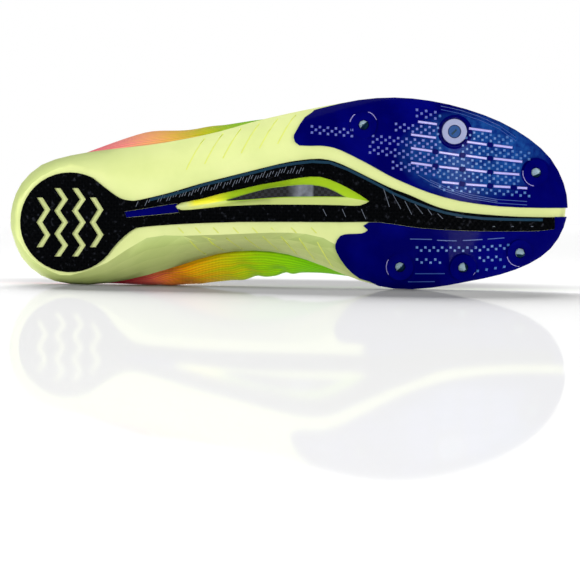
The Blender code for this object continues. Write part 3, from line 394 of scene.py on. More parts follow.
# Photo pixels of the dashed ribs: start and end of each dash, row by row
PIXEL = 0.0005076
HEEL_PIXEL = 8.5
CENTRE_LINE_PIXEL = 222.3
RIBS = (
    ((418, 121.6), (437, 124.2)), ((469, 128.3), (492, 131.4)),
    ((411, 134.5), (436, 137.8)), ((467, 141.7), (487, 144.5)), ((494, 145.0), (513, 147.4)),
    ((411, 148.0), (432, 151.2)), ((439, 152.2), (459, 155.1)), ((466, 155.5), (487, 158.4)),
    ((494, 158.4), (523, 161.6)),
    ((411, 162.7), (432, 165.6)), ((439, 166.6), (459, 168.9)), ((466, 169.4), (487, 171.8)),
    ((494, 172.5), (520, 174.4)),
    ((442, 182.0), (459, 183.6)), ((466, 184.3), (487, 185.7)), ((494, 186.2), (511, 187.1)),
    ((518, 187.6), (528, 188.1)),
)
FAINT_RIBS = (
    ((410, 239.0), (432, 239.5)), ((437, 240.3), (457, 241.0)), ((463, 240.6), (483, 239.6)),
    ((488, 239.2), (505, 238.0)), ((415, 273.7), (445, 273.7)), ((408, 281.8), (435, 281.6)),
)
# Bands of small studs between the ribs: start, end and how many rows
STUD_BANDS = (
    ((312, 129.5), (352, 133.0), 3), ((396, 127.0), (438, 131.0), 3), ((417, 113.0), (440, 116.0), 3),
    ((373, 139.0), (440, 145.0), 3), ((466, 134.5), (512, 140.5), 3),
    ((370, 149.5), (462, 162.0), 3), ((463, 148.5), (530, 156.0), 3),
    ((393, 165.0), (438, 172.4), 3), ((464, 162.5), (519, 168.0), 3),
    ((440, 173.5), (519, 181.0), 3), ((440, 188.0), (530, 194.5), 2),
    ((417, 249.0), (476, 249.3), 2), ((476, 249.0), (509, 246.7), 2),
    ((417, 261.0), (440, 261.2), 2), ((480, 259.5), (501, 258.2), 2), ((478, 271.0), (505, 266.8), 1),
)
# Fine moulded lines that follow the outline of the outer plate
CONTOURS = (
    ((441, 106.0), (460, 110.0), (480, 116.5), (500, 125.5), (517, 137.5)),
    ((441, 109.5), (460, 113.5), (480, 120.0), (500, 129.0), (517, 141.0)),
    ((430, 180.0), (447, 187.5), (470, 194.5), (498, 199.5), (528, 201.5)),
    ((430, 184.5), (447, 191.5), (470, 198.5), (498, 203.0), (528, 205.0)),
    ((418, 175.0), (430, 181.8), (447, 189.5), (470, 196.5), (498, 201.3)),
)
# Gaps between two dashes of a row, in pixels, hold a low wide bar of dark nylon
GAP_PIXELS = (3.0, 12.0)
GAP_WIDE = 2.2
# Studs heelward of one place and above another take the strongest painted highlight
STUD_HIGHLIGHT_TO = 0.0750
STUD_HIGHLIGHT_ABOVE = 0.0500
RIB_WIDTH = 0.00115
RIB_HEIGHT = 0.0006
FAINT_WIDTH = 0.0005
STUD_SIDE = 0.00125
STUD_HEIGHT = 0.0004
STUD_PITCH_PIXELS = 4.2
STUD_ROW_PIXELS = 3.1
SUNK = 0.0002

# The standing shoe's axes in the lying frame: the heel's end on the sole plane, and the
# small turn by which the toe lies higher than the heel
HEEL_END = Vector((-0.1424, -0.0457, 0.0314))
TOE_RISE = 0.0131


def on_shoe(along, across, height=0.0):
    """A point given on the standing shoe: ahead from the heel, towards the inner side, up."""
    ahead = Vector((math.cos(TOE_RISE), 0.0, math.sin(TOE_RISE)))
    outward = Vector((-math.sin(TOE_RISE), 0.0, math.cos(TOE_RISE)))
    return HEEL_END + ahead * along - outward * across + Vector((0.0, height, 0.0))


def skin_tree(nodes):
    """The faces of some CAD nodes, to be hit by rays."""
    skin = bmesh.new()
    for node in nodes:
        skin.from_mesh(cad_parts[node].data)
    tree = BVHTree.FromBMesh(skin)
    skin.free()
    return tree


def on_face(skin, pixel):
    """Where a photo pixel meets a skin, and the skin's outward direction there."""
    across = (pixel[1] - CENTRE_LINE_PIXEL) * PIXEL
    start = on_shoe((pixel[0] - HEEL_PIXEL) * PIXEL, across, -0.1)
    hit, normal, _, _ = skin.ray_cast(start, Vector((0.0, 1.0, 0.0)))
    return hit, normal


def raised_bar(bm, skin, start, end, width, height):
    """A low bar with a bevelled top between two photo pixels, bedded in a skin."""
    (a, up_a), (b, up_b) = on_face(skin, start), on_face(skin, end)
    if a is None or b is None:
        return
    up = (up_a + up_b).normalized()
    ahead = (b - a).normalized()
    side = up.cross(ahead).normalized()
    up = ahead.cross(side)
    turn = Matrix((ahead, side, up)).transposed().to_4x4()
    size = Matrix.Diagonal(((b - a).length, width, height + SUNK, 1.0))
    middle = (a + b) / 2 + up * (height - SUNK) / 2
    made = bmesh.ops.create_cube(bm, size=1.0, matrix=Matrix.Translation(middle) @ turn @ size)
    top = [edge for vert in made["verts"] for edge in vert.link_edges
           if all((v.co - middle).dot(up) > 0.0 for v in edge.verts)]
    bmesh.ops.bevel(bm, geom=list(set(top)), offset=height * 0.45, affect="EDGES", segments=1,
                    profile=0.5, material=-1)


# The same nylon with painted highlights: pale on the rib tops, lighter on the studs, and on fine
# lines that just catch the light; the gaps between the dashes are in full dark gloss
rib_highlight_nylon = plain_material("blue_nylon_rib_tops_painted_highlight", RIB_PAINTED_HIGHLIGHT, {"Roughness": 0.25, "IOR": 1.53})
stud_highlight_nylon = plain_material("blue_nylon_studs_painted_highlight", STUD_PAINTED_HIGHLIGHT, {"Roughness": 0.3, "IOR": 1.53})
gap_and_shadow_nylon = plain_material("blue_nylon_rib_gaps_and_painted_shadow", PLATE_BLUE, {
    "Roughness": 0.2, "IOR": 1.53, "Specular IOR Level": 0.02})
band_highlight_nylon = plain_material("blue_nylon_studs_strong_painted_highlight", BAND_PAINTED_HIGHLIGHT, {"Roughness": 0.3, "IOR": 1.53})
line_highlight_nylon = plain_material("blue_nylon_fine_lines_painted_highlight", LINE_PAINTED_HIGHLIGHT, {"Roughness": 0.3, "IOR": 1.53})

plate_skin = skin_tree(("spike_plate_outer", "spike_plate_inner"))

bm = bmesh.new()
for start, end in RIBS:
    raised_bar(bm, plate_skin, start, end, RIB_WIDTH, RIB_HEIGHT)
rib_faces = set(bm.faces)
for (_, before), (after, _) in zip(RIBS, RIBS[1:]):
    if GAP_PIXELS[0] < after[0] - before[0] < GAP_PIXELS[1]:
        raised_bar(bm, plate_skin, (before[0] + 1.0, before[1]), (after[0] - 1.0, after[1]),
                   RIB_WIDTH * GAP_WIDE, RIB_HEIGHT * 0.5)
for face in bm.faces:
    face.material_index = 0 if face in rib_faces else 1
ribs = make_piece(bm, "plate_ribs", 30.0, rib_highlight_nylon, gap_and_shadow_nylon)
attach(ribs, "root")

bm = bmesh.new()
for start, end in FAINT_RIBS:
    raised_bar(bm, plate_skin, start, end, FAINT_WIDTH, RIB_HEIGHT * 0.5)
for line in CONTOURS:
    for start, end in zip(line, line[1:]):
        raised_bar(bm, plate_skin, start, end, FAINT_WIDTH * 0.7, RIB_HEIGHT * 0.4)
lines = set(bm.faces)
half = STUD_SIDE / PIXEL / 2
for start, end, rows in STUD_BANDS:
    steps = round((end[0] - start[0]) / STUD_PITCH_PIXELS)
    for i in range(steps + 1):
        x = start[0] + (end[0] - start[0]) * i / steps
        y = start[1] + (end[1] - start[1]) * i / steps
        for row in range(rows):
            if (i + row) % 2 == 0:
                at = y + (row - (rows - 1) / 2) * STUD_ROW_PIXELS
                raised_bar(bm, plate_skin, (x - half, at), (x + half, at), STUD_SIDE, STUD_HEIGHT)
for face in bm.faces:
    middle = face.calc_center_median()
    if face in lines:
        face.material_index = 2
    elif middle.x < STUD_HIGHLIGHT_TO and middle.z > STUD_HIGHLIGHT_ABOVE:
        face.material_index = 1
studs = make_piece(bm, "plate_studs", 30.0, stud_highlight_nylon, band_highlight_nylon, line_highlight_nylon)
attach(studs, "root")


# Boss rings: a plain dark ring of the plate's nylon lies round the washer's boss as a painted
# shadow, and arcs of pale nylon edge the other five as painted highlights. They lie on the plates'
# face.
# A boss's centre in photo pixels, then the painted shadow ring's middle radius and half width
SHADOW_DISCS = (((454.2, 132.0), 0.0075, 0.0010),)
# A boss's centre in photo pixels, then the painted highlight arc's radius and its first and last angle
HIGHLIGHT_ARCS = (
    ((536.5, 172.8), 0.0061, 100, 235), ((363.5, 124.5), 0.0068, -70, -20),
    ((363.5, 124.5), 0.0068, 190, 230), ((400.3, 268.0), 0.0066, 150, 215),
    ((463.0, 267.5), 0.0068, 20, 60), ((519.7, 252.0), 0.0066, 60, 160),
)
DISC_STEPS = 32
ARC_STEPS = 12
DISC_THICK = 0.0004
ARC_HALF = 0.0003


def ring_edges(verts):
    """The edges that join the corners of one section."""
    own = set(verts)
    return list({edge for vert in verts for edge in vert.link_edges
                 if all(end in own for end in edge.verts)})


def swept(bm, places, ups, half_wide, half_thick, closed, sides=8):
    """A band along a line of places. "run" holds the way along it and "side" across it."""
    run_layer = bm.verts.layers.float.get("run") or bm.verts.layers.float.new("run")
    side_layer = bm.verts.layers.float.get("side") or bm.verts.layers.float.new("side")
    rings, run, count = [], 0.0, len(places)
    for i, place in enumerate(places):
        before = places[i - 1] if closed or i else place
        after = places[(i + 1) % count] if closed or i + 1 < count else place
        ahead = (after - before).normalized()
        wide = ahead.cross(ups[i]).normalized()
        up = wide.cross(ahead)
        turn = Matrix((wide, up, ahead)).transposed().to_4x4()
        size = Matrix.Diagonal((half_wide, half_thick, 1.0, 1.0))
        ring = bmesh.ops.create_circle(bm, segments=sides, radius=1.0,
                                       matrix=Matrix.Translation(place) @ turn @ size)["verts"]
        run += (place - before).length if i else 0.0
        for vert in ring:
            vert[run_layer] = run
            vert[side_layer] = (vert.co - place).dot(wide) / half_wide
        rings.append(ring)
    pairs = list(zip(rings, rings[1:]))
    if closed:
        pairs.append((rings[-1], rings[0]))
    for a, b in pairs:
        bmesh.ops.bridge_loops(bm, edges=ring_edges(a) + ring_edges(b))
    if not closed:
        for ring in (rings[0], rings[-1]):
            bmesh.ops.contextual_create(bm, geom=ring_edges(ring))
    bmesh.ops.recalc_face_normals(bm, faces=bm.faces)


def arc_on_plate(pixel, radius, first, last, steps):
    """Places round a boss on the plates' face, from one angle to another, and the ups."""
    middle, up = on_face(plate_skin, pixel)
    ahead = up.cross(Vector((0.0, 0.0, 1.0))).normalized()
    side = ahead.cross(up)
    arc = []
    for k in range(steps):
        t = math.radians(first + (last - first) * k / max(1, steps - 1))
        arc.append(middle + (-ahead * math.cos(t) - side * math.sin(t)) * radius)
    places = [plate_skin.find_nearest(point)[0] for point in arc]
    return places, [up] * steps


bm = bmesh.new()
for pixel, middle_radius, half in SHADOW_DISCS:
    disc_places, disc_ups = arc_on_plate(pixel, middle_radius, 0.0, 360.0 - 360.0 / DISC_STEPS,
                                         DISC_STEPS)
    swept(bm, disc_places, disc_ups, half, DISC_THICK, True)
shadow_ring_faces = set(bm.faces)
for pixel, radius, first, last in HIGHLIGHT_ARCS:
    arc_places, arc_ups = arc_on_plate(pixel, radius, first, last, ARC_STEPS)
    raised = [place + up * DISC_THICK for place, up in zip(arc_places, arc_ups)]
    swept(bm, raised, arc_ups, ARC_HALF, ARC_HALF, False)
for face in bm.faces:
    face.material_index = 0 if face in shadow_ring_faces else 1
boss_rings = make_piece(bm, "boss_rings", 60.0, gap_and_shadow_nylon, rib_highlight_nylon)
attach(boss_rings, "root")


# Foam dashes: short raised ribs of the midsole's own foam, moulded on its flat band beside the
# inner arm, in line with the grooves below them.
DASH_STARTS = (178, 195, 213, 233, 252, 271, 291, 311)
DASH_TOP = 227.6
DASH_AHEAD = 5.5
DASH_DOWN = 5.6
DASH_WIDTH = 0.0006
DASH_HEIGHT = 0.00012

sole_skin = skin_tree(("midsole",))
bm = bmesh.new()
for x in DASH_STARTS:
    raised_bar(bm, sole_skin, (x, DASH_TOP), (x + DASH_AHEAD, DASH_TOP + DASH_DOWN), DASH_WIDTH,
               DASH_HEIGHT)
dashes = make_piece(bm, "foam_dashes", 30.0, groove_foam)
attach(dashes, "root")


# Rubber relief: raised strokes that slant over the arms and the strip, and a smooth piping
# along their upper edge, in one moulding with them. The strokes are matt grey.
STROKE_GREY = "6E7684"
STROKE_WIDTH = 0.00035
STROKE_HEIGHT = 0.0003
EDGE_RIB_WIDTH = 0.0014
STROKE_PITCH = 3.1
STROKE_LEAST = 1.6
STROKE_MORE = 1.9
STROKE_SLANT = 0.45
ARM_MIDDLE = ((137, 203.0), (186, 193.5), (240, 180.5), (282, 171.5), (306, 169.5))
STROKES = (
    ((383.4, 188.0), (389.4, 206.8)), ((392.0, 192.7), (400.8, 208.8)),
    ((404.8, 201.0), (411.8, 214.5)), ((414.8, 204.0), (422.9, 214.0)),
    ((427.6, 208.8), (432.0, 215.0)), ((437.6, 213.5), (443.0, 218.8)),
    ((456.0, 216.8), (462.4, 217.8)), ((342.2, 209.0), (345.8, 217.0)),
    ((361.4, 209.0), (365.8, 219.0)), ((323.0, 209.0), (326.5, 216.0)),
    ((493.0, 226.5), (495.4, 226.6)), ((512.0, 226.5), (514.4, 226.6)),
    ((532.0, 226.5), (534.4, 226.6)),
)
EDGE_RIB = ((150, 199.8), (168, 195.7), (186, 190.7), (204, 184.7), (222, 180.7), (240, 175.7),
            (258, 171.5), (276, 166.7), (294, 163.6), (312, 161.6), (330, 162.6), (348, 169.6),
            (366, 178.6), (384, 188.0), (393, 193.2), (410, 200.6), (427.6, 207.4), (445, 212.7),
            (463.7, 216.4), (483.8, 218.6), (503.9, 219.4), (524, 219.8), (544, 220.0),
            (556, 220.0))

# Strokes: matt grey
grey_stroke_rubber = plain_material("black_rubber_grey_strokes", STROKE_GREY, {"Roughness": 0.8})
strip_skin = skin_tree(("rubber_strip",))

bm = bmesh.new()
for start, end in STROKES:
    raised_bar(bm, strip_skin, start, end, STROKE_WIDTH, STROKE_HEIGHT)
stroke = 0
for start, end in zip(ARM_MIDDLE, ARM_MIDDLE[1:]):
    steps = round((end[0] - start[0]) / STROKE_PITCH)
    for i in range(steps):
        x = start[0] + (end[0] - start[0]) * i / steps
        y = start[1] + (end[1] - start[1]) * i / steps
        stroke += 1
        length = STROKE_LEAST + STROKE_MORE * ((stroke * 7) % 5) / 4
        drop = ((stroke * 5) % 7 - 3) * 0.5
        raised_bar(bm, strip_skin, (x - length * STROKE_SLANT, y + drop + length),
                   (x + length * STROKE_SLANT, y + drop - length), STROKE_WIDTH, STROKE_HEIGHT)
strokes = make_piece(bm, "rubber_strokes", 30.0, grey_stroke_rubber)
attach(strokes, "root")

bm = bmesh.new()
for start, end in zip(EDGE_RIB, EDGE_RIB[1:]):
    raised_bar(bm, strip_skin, start, end, EDGE_RIB_WIDTH, STROKE_HEIGHT)
edge_rib = make_piece(bm, "rubber_edge_rib", 30.0, rim)
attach(edge_rib, "root")


# Spikes, washer and blank: plated steel. The pins screw into the bosses; the empty boss
# is closed by a slotted blank under a broad washer.
STEEL_BRIGHT = "A2A8CC"
STEEL_DARK = "1C4C8C"
PIN_PAINTED_HIGHLIGHT = "C4E4EC"
PIN_PAINTED_SHADE = "0E3444"
FACET_HIGHLIGHT_ABOVE = 0.25
# The blank's slot: its ends in photo pixels, its width and its height
SLOT_ENDS = ((451.8, 134.4), (456.6, 129.6))
SLOT_WIDTH = 0.0008
SLOT_HEIGHT = 0.0002

# Zinc plated steel: bright and a little hazy from tumbling, and the blank blued darker
steel = plain_material("zinc_plated_steel", STEEL_BRIGHT, {
    "Metallic": 0.15, "Roughness": 0.5, "Specular IOR Level": 0.2})
plug_steel = plain_material("blued_steel", STEEL_DARK, {
    "Metallic": 0.1, "Roughness": 0.45, "Specular IOR Level": 0.2})

# Pins' facets: painted highlight where they face up and back, painted shade where they face the toe and
# the floor
painted_highlight_steel = plain_material("zinc_plated_facets_painted_highlight", PIN_PAINTED_HIGHLIGHT, {"Metallic": 0.1, "Roughness": 0.4})
painted_shade_steel = plain_material("zinc_plated_facets_painted_shade", PIN_PAINTED_SHADE, {
    "Metallic": 0.2, "Roughness": 0.4, "Specular IOR Level": 0.2})

for number in range(1, 6):
    bm = merged_copy(f"spike_{number}")
    bm.normal_update()
    for face in bm.faces:
        face.material_index = 0 if face.normal.z - face.normal.x > FACET_HIGHLIGHT_ABOVE else 1
    pin = make_piece(bm, f"pin_{number}", 20.0, painted_highlight_steel, painted_shade_steel)
    soft_edges(pin, 0.00015, 2, 20.0)
    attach(pin, "root")
    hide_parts(f"spike_{number}")

# The blank's slot is drawn as a low raised bar in the facets' painted shade
plug_skin = skin_tree(("blank_plug",))
bm = bmesh.new()
raised_bar(bm, plug_skin, *SLOT_ENDS, SLOT_WIDTH, SLOT_HEIGHT)
slot_bar = make_piece(bm, "blank_slot", 30.0, painted_shade_steel)
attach(slot_bar, "root")

for node, name, finish in (("washer", "boss_washer", steel), ("blank_plug", "boss_blank", plug_steel)):
    fitting = make_piece(merged_copy(node), name, 30.0, finish)
    soft_edges(fitting, 0.0002, 2, 40.0)
    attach(fitting, "root")
    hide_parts(node)


# Upper: one fine engineered knit, lasted under the insole and cemented in the foam's cup.
# Its yarn is dyed in one run from crimson at the heel through orange to green at the toes,
# and its courses follow the foam's edge. The last pulls it smooth; wear has left soft folds.
KNIT_STOPS = ((0.010, "F05A78"), (0.043, "FF7084"), (0.062, "FF948A"), (0.078, "FFB070"),
              (0.090, "F2BE46"), (0.104, "CCC818"), (0.120, "9CD008"), (0.145, "82D408"),
              (0.285, "A0E22C"))
KNIT_RUN = 0.285
PORE_GREEN = "3F7A0C"
LINING_LIME = "A8B85C"
LINING_PALE = "C6D47E"
DYE_START = HEEL_END.x + 0.0239
RIM_SHARP = 50.0
RIM_EDGE_LEAST = 0.0022
RIM_ABOVE = 0.003
CAGE_FITS = 3
# A fold's ridges beside its trough, in widths: reach, height, place and tightness
FOLD_REACH = 4.0
RIDGE_HEIGHT = 0.45
RIDGE_AWAY = 1.8
RIDGE_TIGHT = 1.4
COURSE = 0.0013
WALE = 0.0017
PORE = 0.0026
# Folds as points ahead from the heel, towards the inner side and up, then depth and width
FOLDS = (
    (((0.119, 0.034, 0.018), (0.122, 0.034, 0.030), (0.127, 0.027, 0.045)), 0.0013, 0.0034),
    (((0.134, 0.038, 0.018), (0.138, 0.036, 0.030), (0.142, 0.030, 0.042)), 0.0012, 0.0026),
    (((0.073, 0.032, 0.018), (0.080, 0.031, 0.030), (0.090, 0.025, 0.042)), 0.0009, 0.0040),
    (((0.196, -0.038, 0.028), (0.200, -0.015, 0.046), (0.199, 0.012, 0.046),
      (0.194, 0.036, 0.030)), 0.0010, 0.0032),
    (((0.209, -0.034, 0.026), (0.212, -0.012, 0.040), (0.211, 0.014, 0.040)), 0.0008, 0.0028),
    (((0.186, 0.034, 0.034), (0.189, 0.012, 0.050), (0.188, -0.010, 0.050)), 0.0007, 0.0028),
    (((0.094, -0.030, 0.028), (0.103, -0.031, 0.036), (0.110, -0.026, 0.048)), 0.0010, 0.0034),
    (((0.060, -0.026, 0.036), (0.072, -0.028, 0.032), (0.086, -0.031, 0.024)), 0.0007, 0.0036),
    (((0.150, -0.040, 0.024), (0.156, -0.036, 0.038), (0.163, -0.026, 0.048)), 0.0007, 0.0030),
)

# Polyester knit: matt, with courses and wales of loops, pores over the toes, a faint fuzz.
# Its courses (1.3 mm) and wales (1.7 mm) are coarser than the real 1 mm, so they flicker less
knit, tree, shader = new_material("polyester_knit", {
    "Roughness": 0.85, "Sheen Weight": 0.06, "Sheen Roughness": 0.5, "Specular IOR Level": 0.15})
place = add(tree, "TexCoord", {}, {}).outputs["Object"]
axes = add(tree, "SeparateXYZ", {}, {"Vector": place})
rise = add(tree, "Attribute", {"attribute_name": "rise"}, {}).outputs["Fac"]
row = worked(tree, "MULTIPLY", rise, 2 * math.pi / COURSE)
course = worked(tree, "SINE", row)
column = worked(tree, "MULTIPLY", axes.outputs["X"], 2 * math.pi / WALE)
wale = worked(tree, "SINE", column)
streak_place = add(tree, "CombineXYZ", {}, {
    "X": worked(tree, "MULTIPLY", axes.outputs["X"], 14.0),
    "Y": worked(tree, "MULTIPLY", rise, 620.0)})
streak = noise(tree, streak_place.outputs[0], 1.0, 2.0)
lean = worked(tree, "MULTIPLY_ADD", axes.outputs["Z"], 0.20, axes.outputs["X"])
wander = worked(tree, "MULTIPLY_ADD", streak, 0.030, lean)
share = remap(tree, wander, DYE_START, DYE_START + KNIT_RUN)
dye = ramp(tree, share, [(x / KNIT_RUN, linear(c)) for x, c in KNIT_STOPS])
fade = remap(tree, rise, 0.012, 0.030, 0.14, 0.035)
shade = worked(tree, "MULTIPLY_ADD", course, fade, 0.93)
strength = remap(tree, axes.outputs["Z"], 0.004, 0.045, 1.2, 1.0)
deep = add(tree, "HueSaturation", {}, {"Saturation": strength, "Color": dye})
lined = add(tree, "VectorMath", {"operation": "SCALE"}, {0: deep.outputs[0], "Scale": shade})
pores = add(tree, "TexVoronoi", {}, {"Vector": place, "Scale": 1 / PORE})
pore = remap(tree, pores.outputs["Distance"], 0.10, 0.26, 0.35, 0.0)
over_toes = remap(tree, axes.outputs["X"], 0.030, 0.060)
off_foam = remap(tree, rise, 0.006, 0.012)
zone = worked(tree, "MULTIPLY", over_toes, off_foam)
hole = worked(tree, "MULTIPLY", pore, zone)
holed = blend(tree, hole, lined.outputs[0], linear(PORE_GREEN))
tree.links.new(holed, shader.inputs["Base Color"])
loops = worked(tree, "MULTIPLY_ADD", wale, 0.4, course)
sunk = worked(tree, "MULTIPLY_ADD", hole, -4.0, loops)
bump(tree, shader, 0.35, 0.00025, sunk)

# Lining face of the same knit: plain lime yarn, brushed
lining, tree, shader = new_material("brushed_knit_lining", {
    "Roughness": 0.95, "Sheen Weight": 0.3, "Specular IOR Level": 0.2})
place = add(tree, "TexCoord", {}, {}).outputs["Object"]
nap = noise(tree, place, 900.0, 3.0)
worn = ramp(tree, nap, [(0.3, linear(LINING_LIME)), (0.75, linear(LINING_PALE))])
tree.links.new(worn, shader.inputs["Base Color"])
bump(tree, shader, 0.4, 0.0003, nap)


def dense_skin(bm, name, levels, *materials):
    """A quad skin made dense and round, passing through the skin's own corners."""
    bmesh.ops.join_triangles(bm, faces=bm.faces, angle_face_threshold=math.radians(40),
                             angle_shape_threshold=math.radians(60))
    piece = make_piece(bm, name, 180.0, *materials)
    corners = [vert.co.copy() for vert in piece.data.vertices]
    round_off = piece.modifiers.new("round", "SUBSURF")
    round_off.levels = levels
    round_off.render_levels = levels
    for _ in range(CAGE_FITS):
        bpy.context.view_layer.update()
        shown = piece.evaluated_get(bpy.context.evaluated_depsgraph_get()).data
        short = [corner - shown.vertices[k].co for k, corner in enumerate(corners)]
        for vert, miss in zip(piece.data.vertices, short):
            vert.co += miss
        piece.data.update()
    bpy.context.view_layer.update()
    shown = piece.evaluated_get(bpy.context.evaluated_depsgraph_get())
    dense = bpy.data.meshes.new_from_object(shown)
    for polygon in dense.polygons:
        polygon.use_smooth = True
    piece.modifiers.clear()
    piece.data = dense
    return piece


def nearest_on_line(point, line):
    """The distance from a point to a line of points."""
    least = 1.0
    for a, b in zip(line, line[1:]):
        ahead = b - a
        share = min(1.0, max(0.0, (point - a).dot(ahead) / ahead.length_squared))
        least = min(least, (point - a - ahead * share).length)
    return least


def fold(mesh, skin, folds):
    """Soft troughs, each with a low ridge on both sides, pressed into a mesh's outer face."""
    normals = []
    for vert in mesh.vertices:
        from_middle = vert.co - on_shoe(vert.co.x - HEEL_END.x, 0.0, 0.03)
        outward = Vector((0.0, from_middle.y, from_middle.z))
        normals.append(vert.normal.copy() if vert.normal.dot(outward) > 0.0 else -vert.normal)
    for places, depth, width in folds:
        line = [skin.find_nearest(on_shoe(*place))[0] for place in places]
        for vert, normal in zip(mesh.vertices, normals):
            gap = nearest_on_line(vert.co, line) / width
            if gap < FOLD_REACH:
                ridge = RIDGE_HEIGHT * math.exp(-RIDGE_TIGHT * (gap - RIDGE_AWAY) ** 2)
                press = math.exp(-gap ** 2) - ridge
                vert.co -= normal * depth * press
    mesh.update()


bm = bmesh.new()
bm.from_mesh(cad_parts["upper"].data)
bmesh.ops.remove_doubles(bm, verts=bm.verts, dist=MERGE)
bm.normal_update()
rim_edges = [edge for edge in bm.edges
             if edge.calc_face_angle(0.0) > math.radians(RIM_SHARP)
             and edge.calc_length() > RIM_EDGE_LEAST
             and min(vert.co.y for vert in edge.verts) > RIM_ABOVE]
for face in bm.faces:
    middle = face.calc_center_median()
    inside = on_shoe(min(0.250, max(0.045, middle.x - HEEL_END.x)), 0.0, 0.030)
    face.material_index = 1 if (middle - inside).dot(face.normal) < 0.0 else 0


def ordered_rims(edges):
    """The closed lines that some edges form, longest first, each as points in order."""
    left, lines = set(edges), []
    while left:
        edge = left.pop()
        start, at = edge.verts
        line = [start.co.copy()]
        while at is not start:
            line.append(at.co.copy())
            onward = [near for near in at.link_edges if near in left]
            if not onward:
                break
            left.discard(onward[0])
            at = onward[0].other_vert(at)
        lines.append(line)
    total = [sum((a - b).length for a, b in zip(line, line[1:])) for line in lines]
    return [line for _, line in sorted(zip(total, lines), key=lambda pair: -pair[0])]


rim_lines = ordered_rims(rim_edges)
upper = dense_skin(bm, "knit_upper", 3, knit, lining)
upper_skin = skin_tree(("upper",))
fold(upper.data, upper_skin, FOLDS)
foam_skin = skin_tree(("midsole",))
rises = [foam_skin.find_nearest(vert.co)[3] for vert in upper.data.vertices]
upper.data.attributes.new("rise", "FLOAT", "POINT").data.foreach_set("value", rises)
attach(upper, "root")
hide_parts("upper")


# Collar and throat binding: a narrow tape of the same polyester knit, folded over the upper's
# raw edge and sewn through, so the edge shows round and closed.
BINDING_HALF = 0.0016

outer_line, inner_line = rim_lines[0], rim_lines[1]
places, ups = [], []
for point in outer_line:
    other = min(inner_line, key=lambda near: (near - point).length)
    places.append((point + other) / 2)
    ups.append(Vector((0.0, 1.0, 0.0)))
bm = bmesh.new()
swept(bm, places, ups, BINDING_HALF, BINDING_HALF, True)
binding = make_piece(bm, "collar_binding", 180.0, knit)
round_off = binding.modifiers.new("round", "SUBSURF")
round_off.levels = 2
round_off.render_levels = 2
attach(binding, "root")


# Tongue: the same knit over a thin sheet of foam, cut as a plain tab and sewn in under the
# front of the throat. It shields the instep from the lace.
bm = bmesh.new()
bm.from_mesh(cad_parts["tongue"].data)
bmesh.ops.remove_doubles(bm, verts=bm.verts, dist=MERGE)
tongue = dense_skin(bm, "knit_tongue", 2, knit)
tongue_skin = skin_tree(("tongue",))
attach(tongue, "root")
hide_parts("tongue")


# Insole: a thin foam sock liner with a brushed cloth face, die cut and laid loose on the
# midsole's bed inside the upper.
insole = make_piece(merged_copy("insole"), "sock_liner", 40.0, lining)
soft_edges(insole, 0.0006, 2, 45.0)
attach(insole, "root")
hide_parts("insole")


# Eyelets: five holes a side in the throat's edge, each stiffened by a small ring of
# polyurethane film that is welded to the knit.
EYELET_ROWS = (0.120, 0.133, 0.146, 0.160, 0.173)
EYELET_FROM_EDGE = 0.0065
EYELET_RADIUS = 0.0026
EYELET_TUBE = 0.0005
EYELET_LIFT = 0.0003
EYELET_STEPS = 16
FILM_LIME = "C2D84A"

# Polyurethane film: smooth and glossy, tinted lime
film = plain_material("polyurethane_film", FILM_LIME, {"Roughness": 0.3, "Coat Weight": 0.3})


def throat_edge(along, side):
    """The point of the throat's edge at a distance from the heel: side 1 inner, -1 outer."""
    target = on_shoe(along, 0.0).x
    crossings = []
    for a, b in zip(places, places[1:] + places[:1]):
        low, high = sorted((a, b), key=lambda point: point.x)
        if low.x <= target <= high.x:
            crossings.append(low.lerp(high, (target - low.x) / max(1e-6, high.x - low.x)))
    return min(crossings, key=lambda point: point.z * side)


eyelets = {}
bm = bmesh.new()
for row, along in enumerate(EYELET_ROWS):
    for side in (1, -1):
        edge = throat_edge(along, side)
        aim = edge + Vector((0.0, -0.25, -side)).normalized() * EYELET_FROM_EDGE
        hit, normal, _, _ = upper_skin.find_nearest(aim)
        if normal.y < 0.0:
            normal = -normal
        eyelets[row, side] = (hit, normal, edge)
        sideways = normal.cross(Vector((1.0, 0.0, 0.0))).normalized()
        ahead = sideways.cross(normal)
        turns = [k * 2 * math.pi / EYELET_STEPS for k in range(EYELET_STEPS)]
        round_it = [hit + normal * EYELET_LIFT + (sideways * math.cos(t) + ahead * math.sin(t))
                    * EYELET_RADIUS for t in turns]
        swept(bm, round_it, [normal] * EYELET_STEPS, EYELET_TUBE, EYELET_TUBE, True, 6)
rings = make_piece(bm, "eyelet_rings", 180.0, film)
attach(rings, "root")


# Laces: one flat woven polyester lace, drawn tight over the tongue and through the eyelets.
# It crosses from row to row, and its hidden ends stop under the top pair.
LACE_LIME = "DCE88A"
LACE_SHADE = "A9BC4E"
LACE_HALF = 0.0021
LACE_THICK = 0.0005
PLAIT = 0.0014
LACE_STEPS = 16
LACE_UNDER = 0.0016
LACE_OVER = 0.0012
LACE_AT_EDGE = 0.0014
CREST_RISE = 0.0016
LAYER_RISE = 0.0011

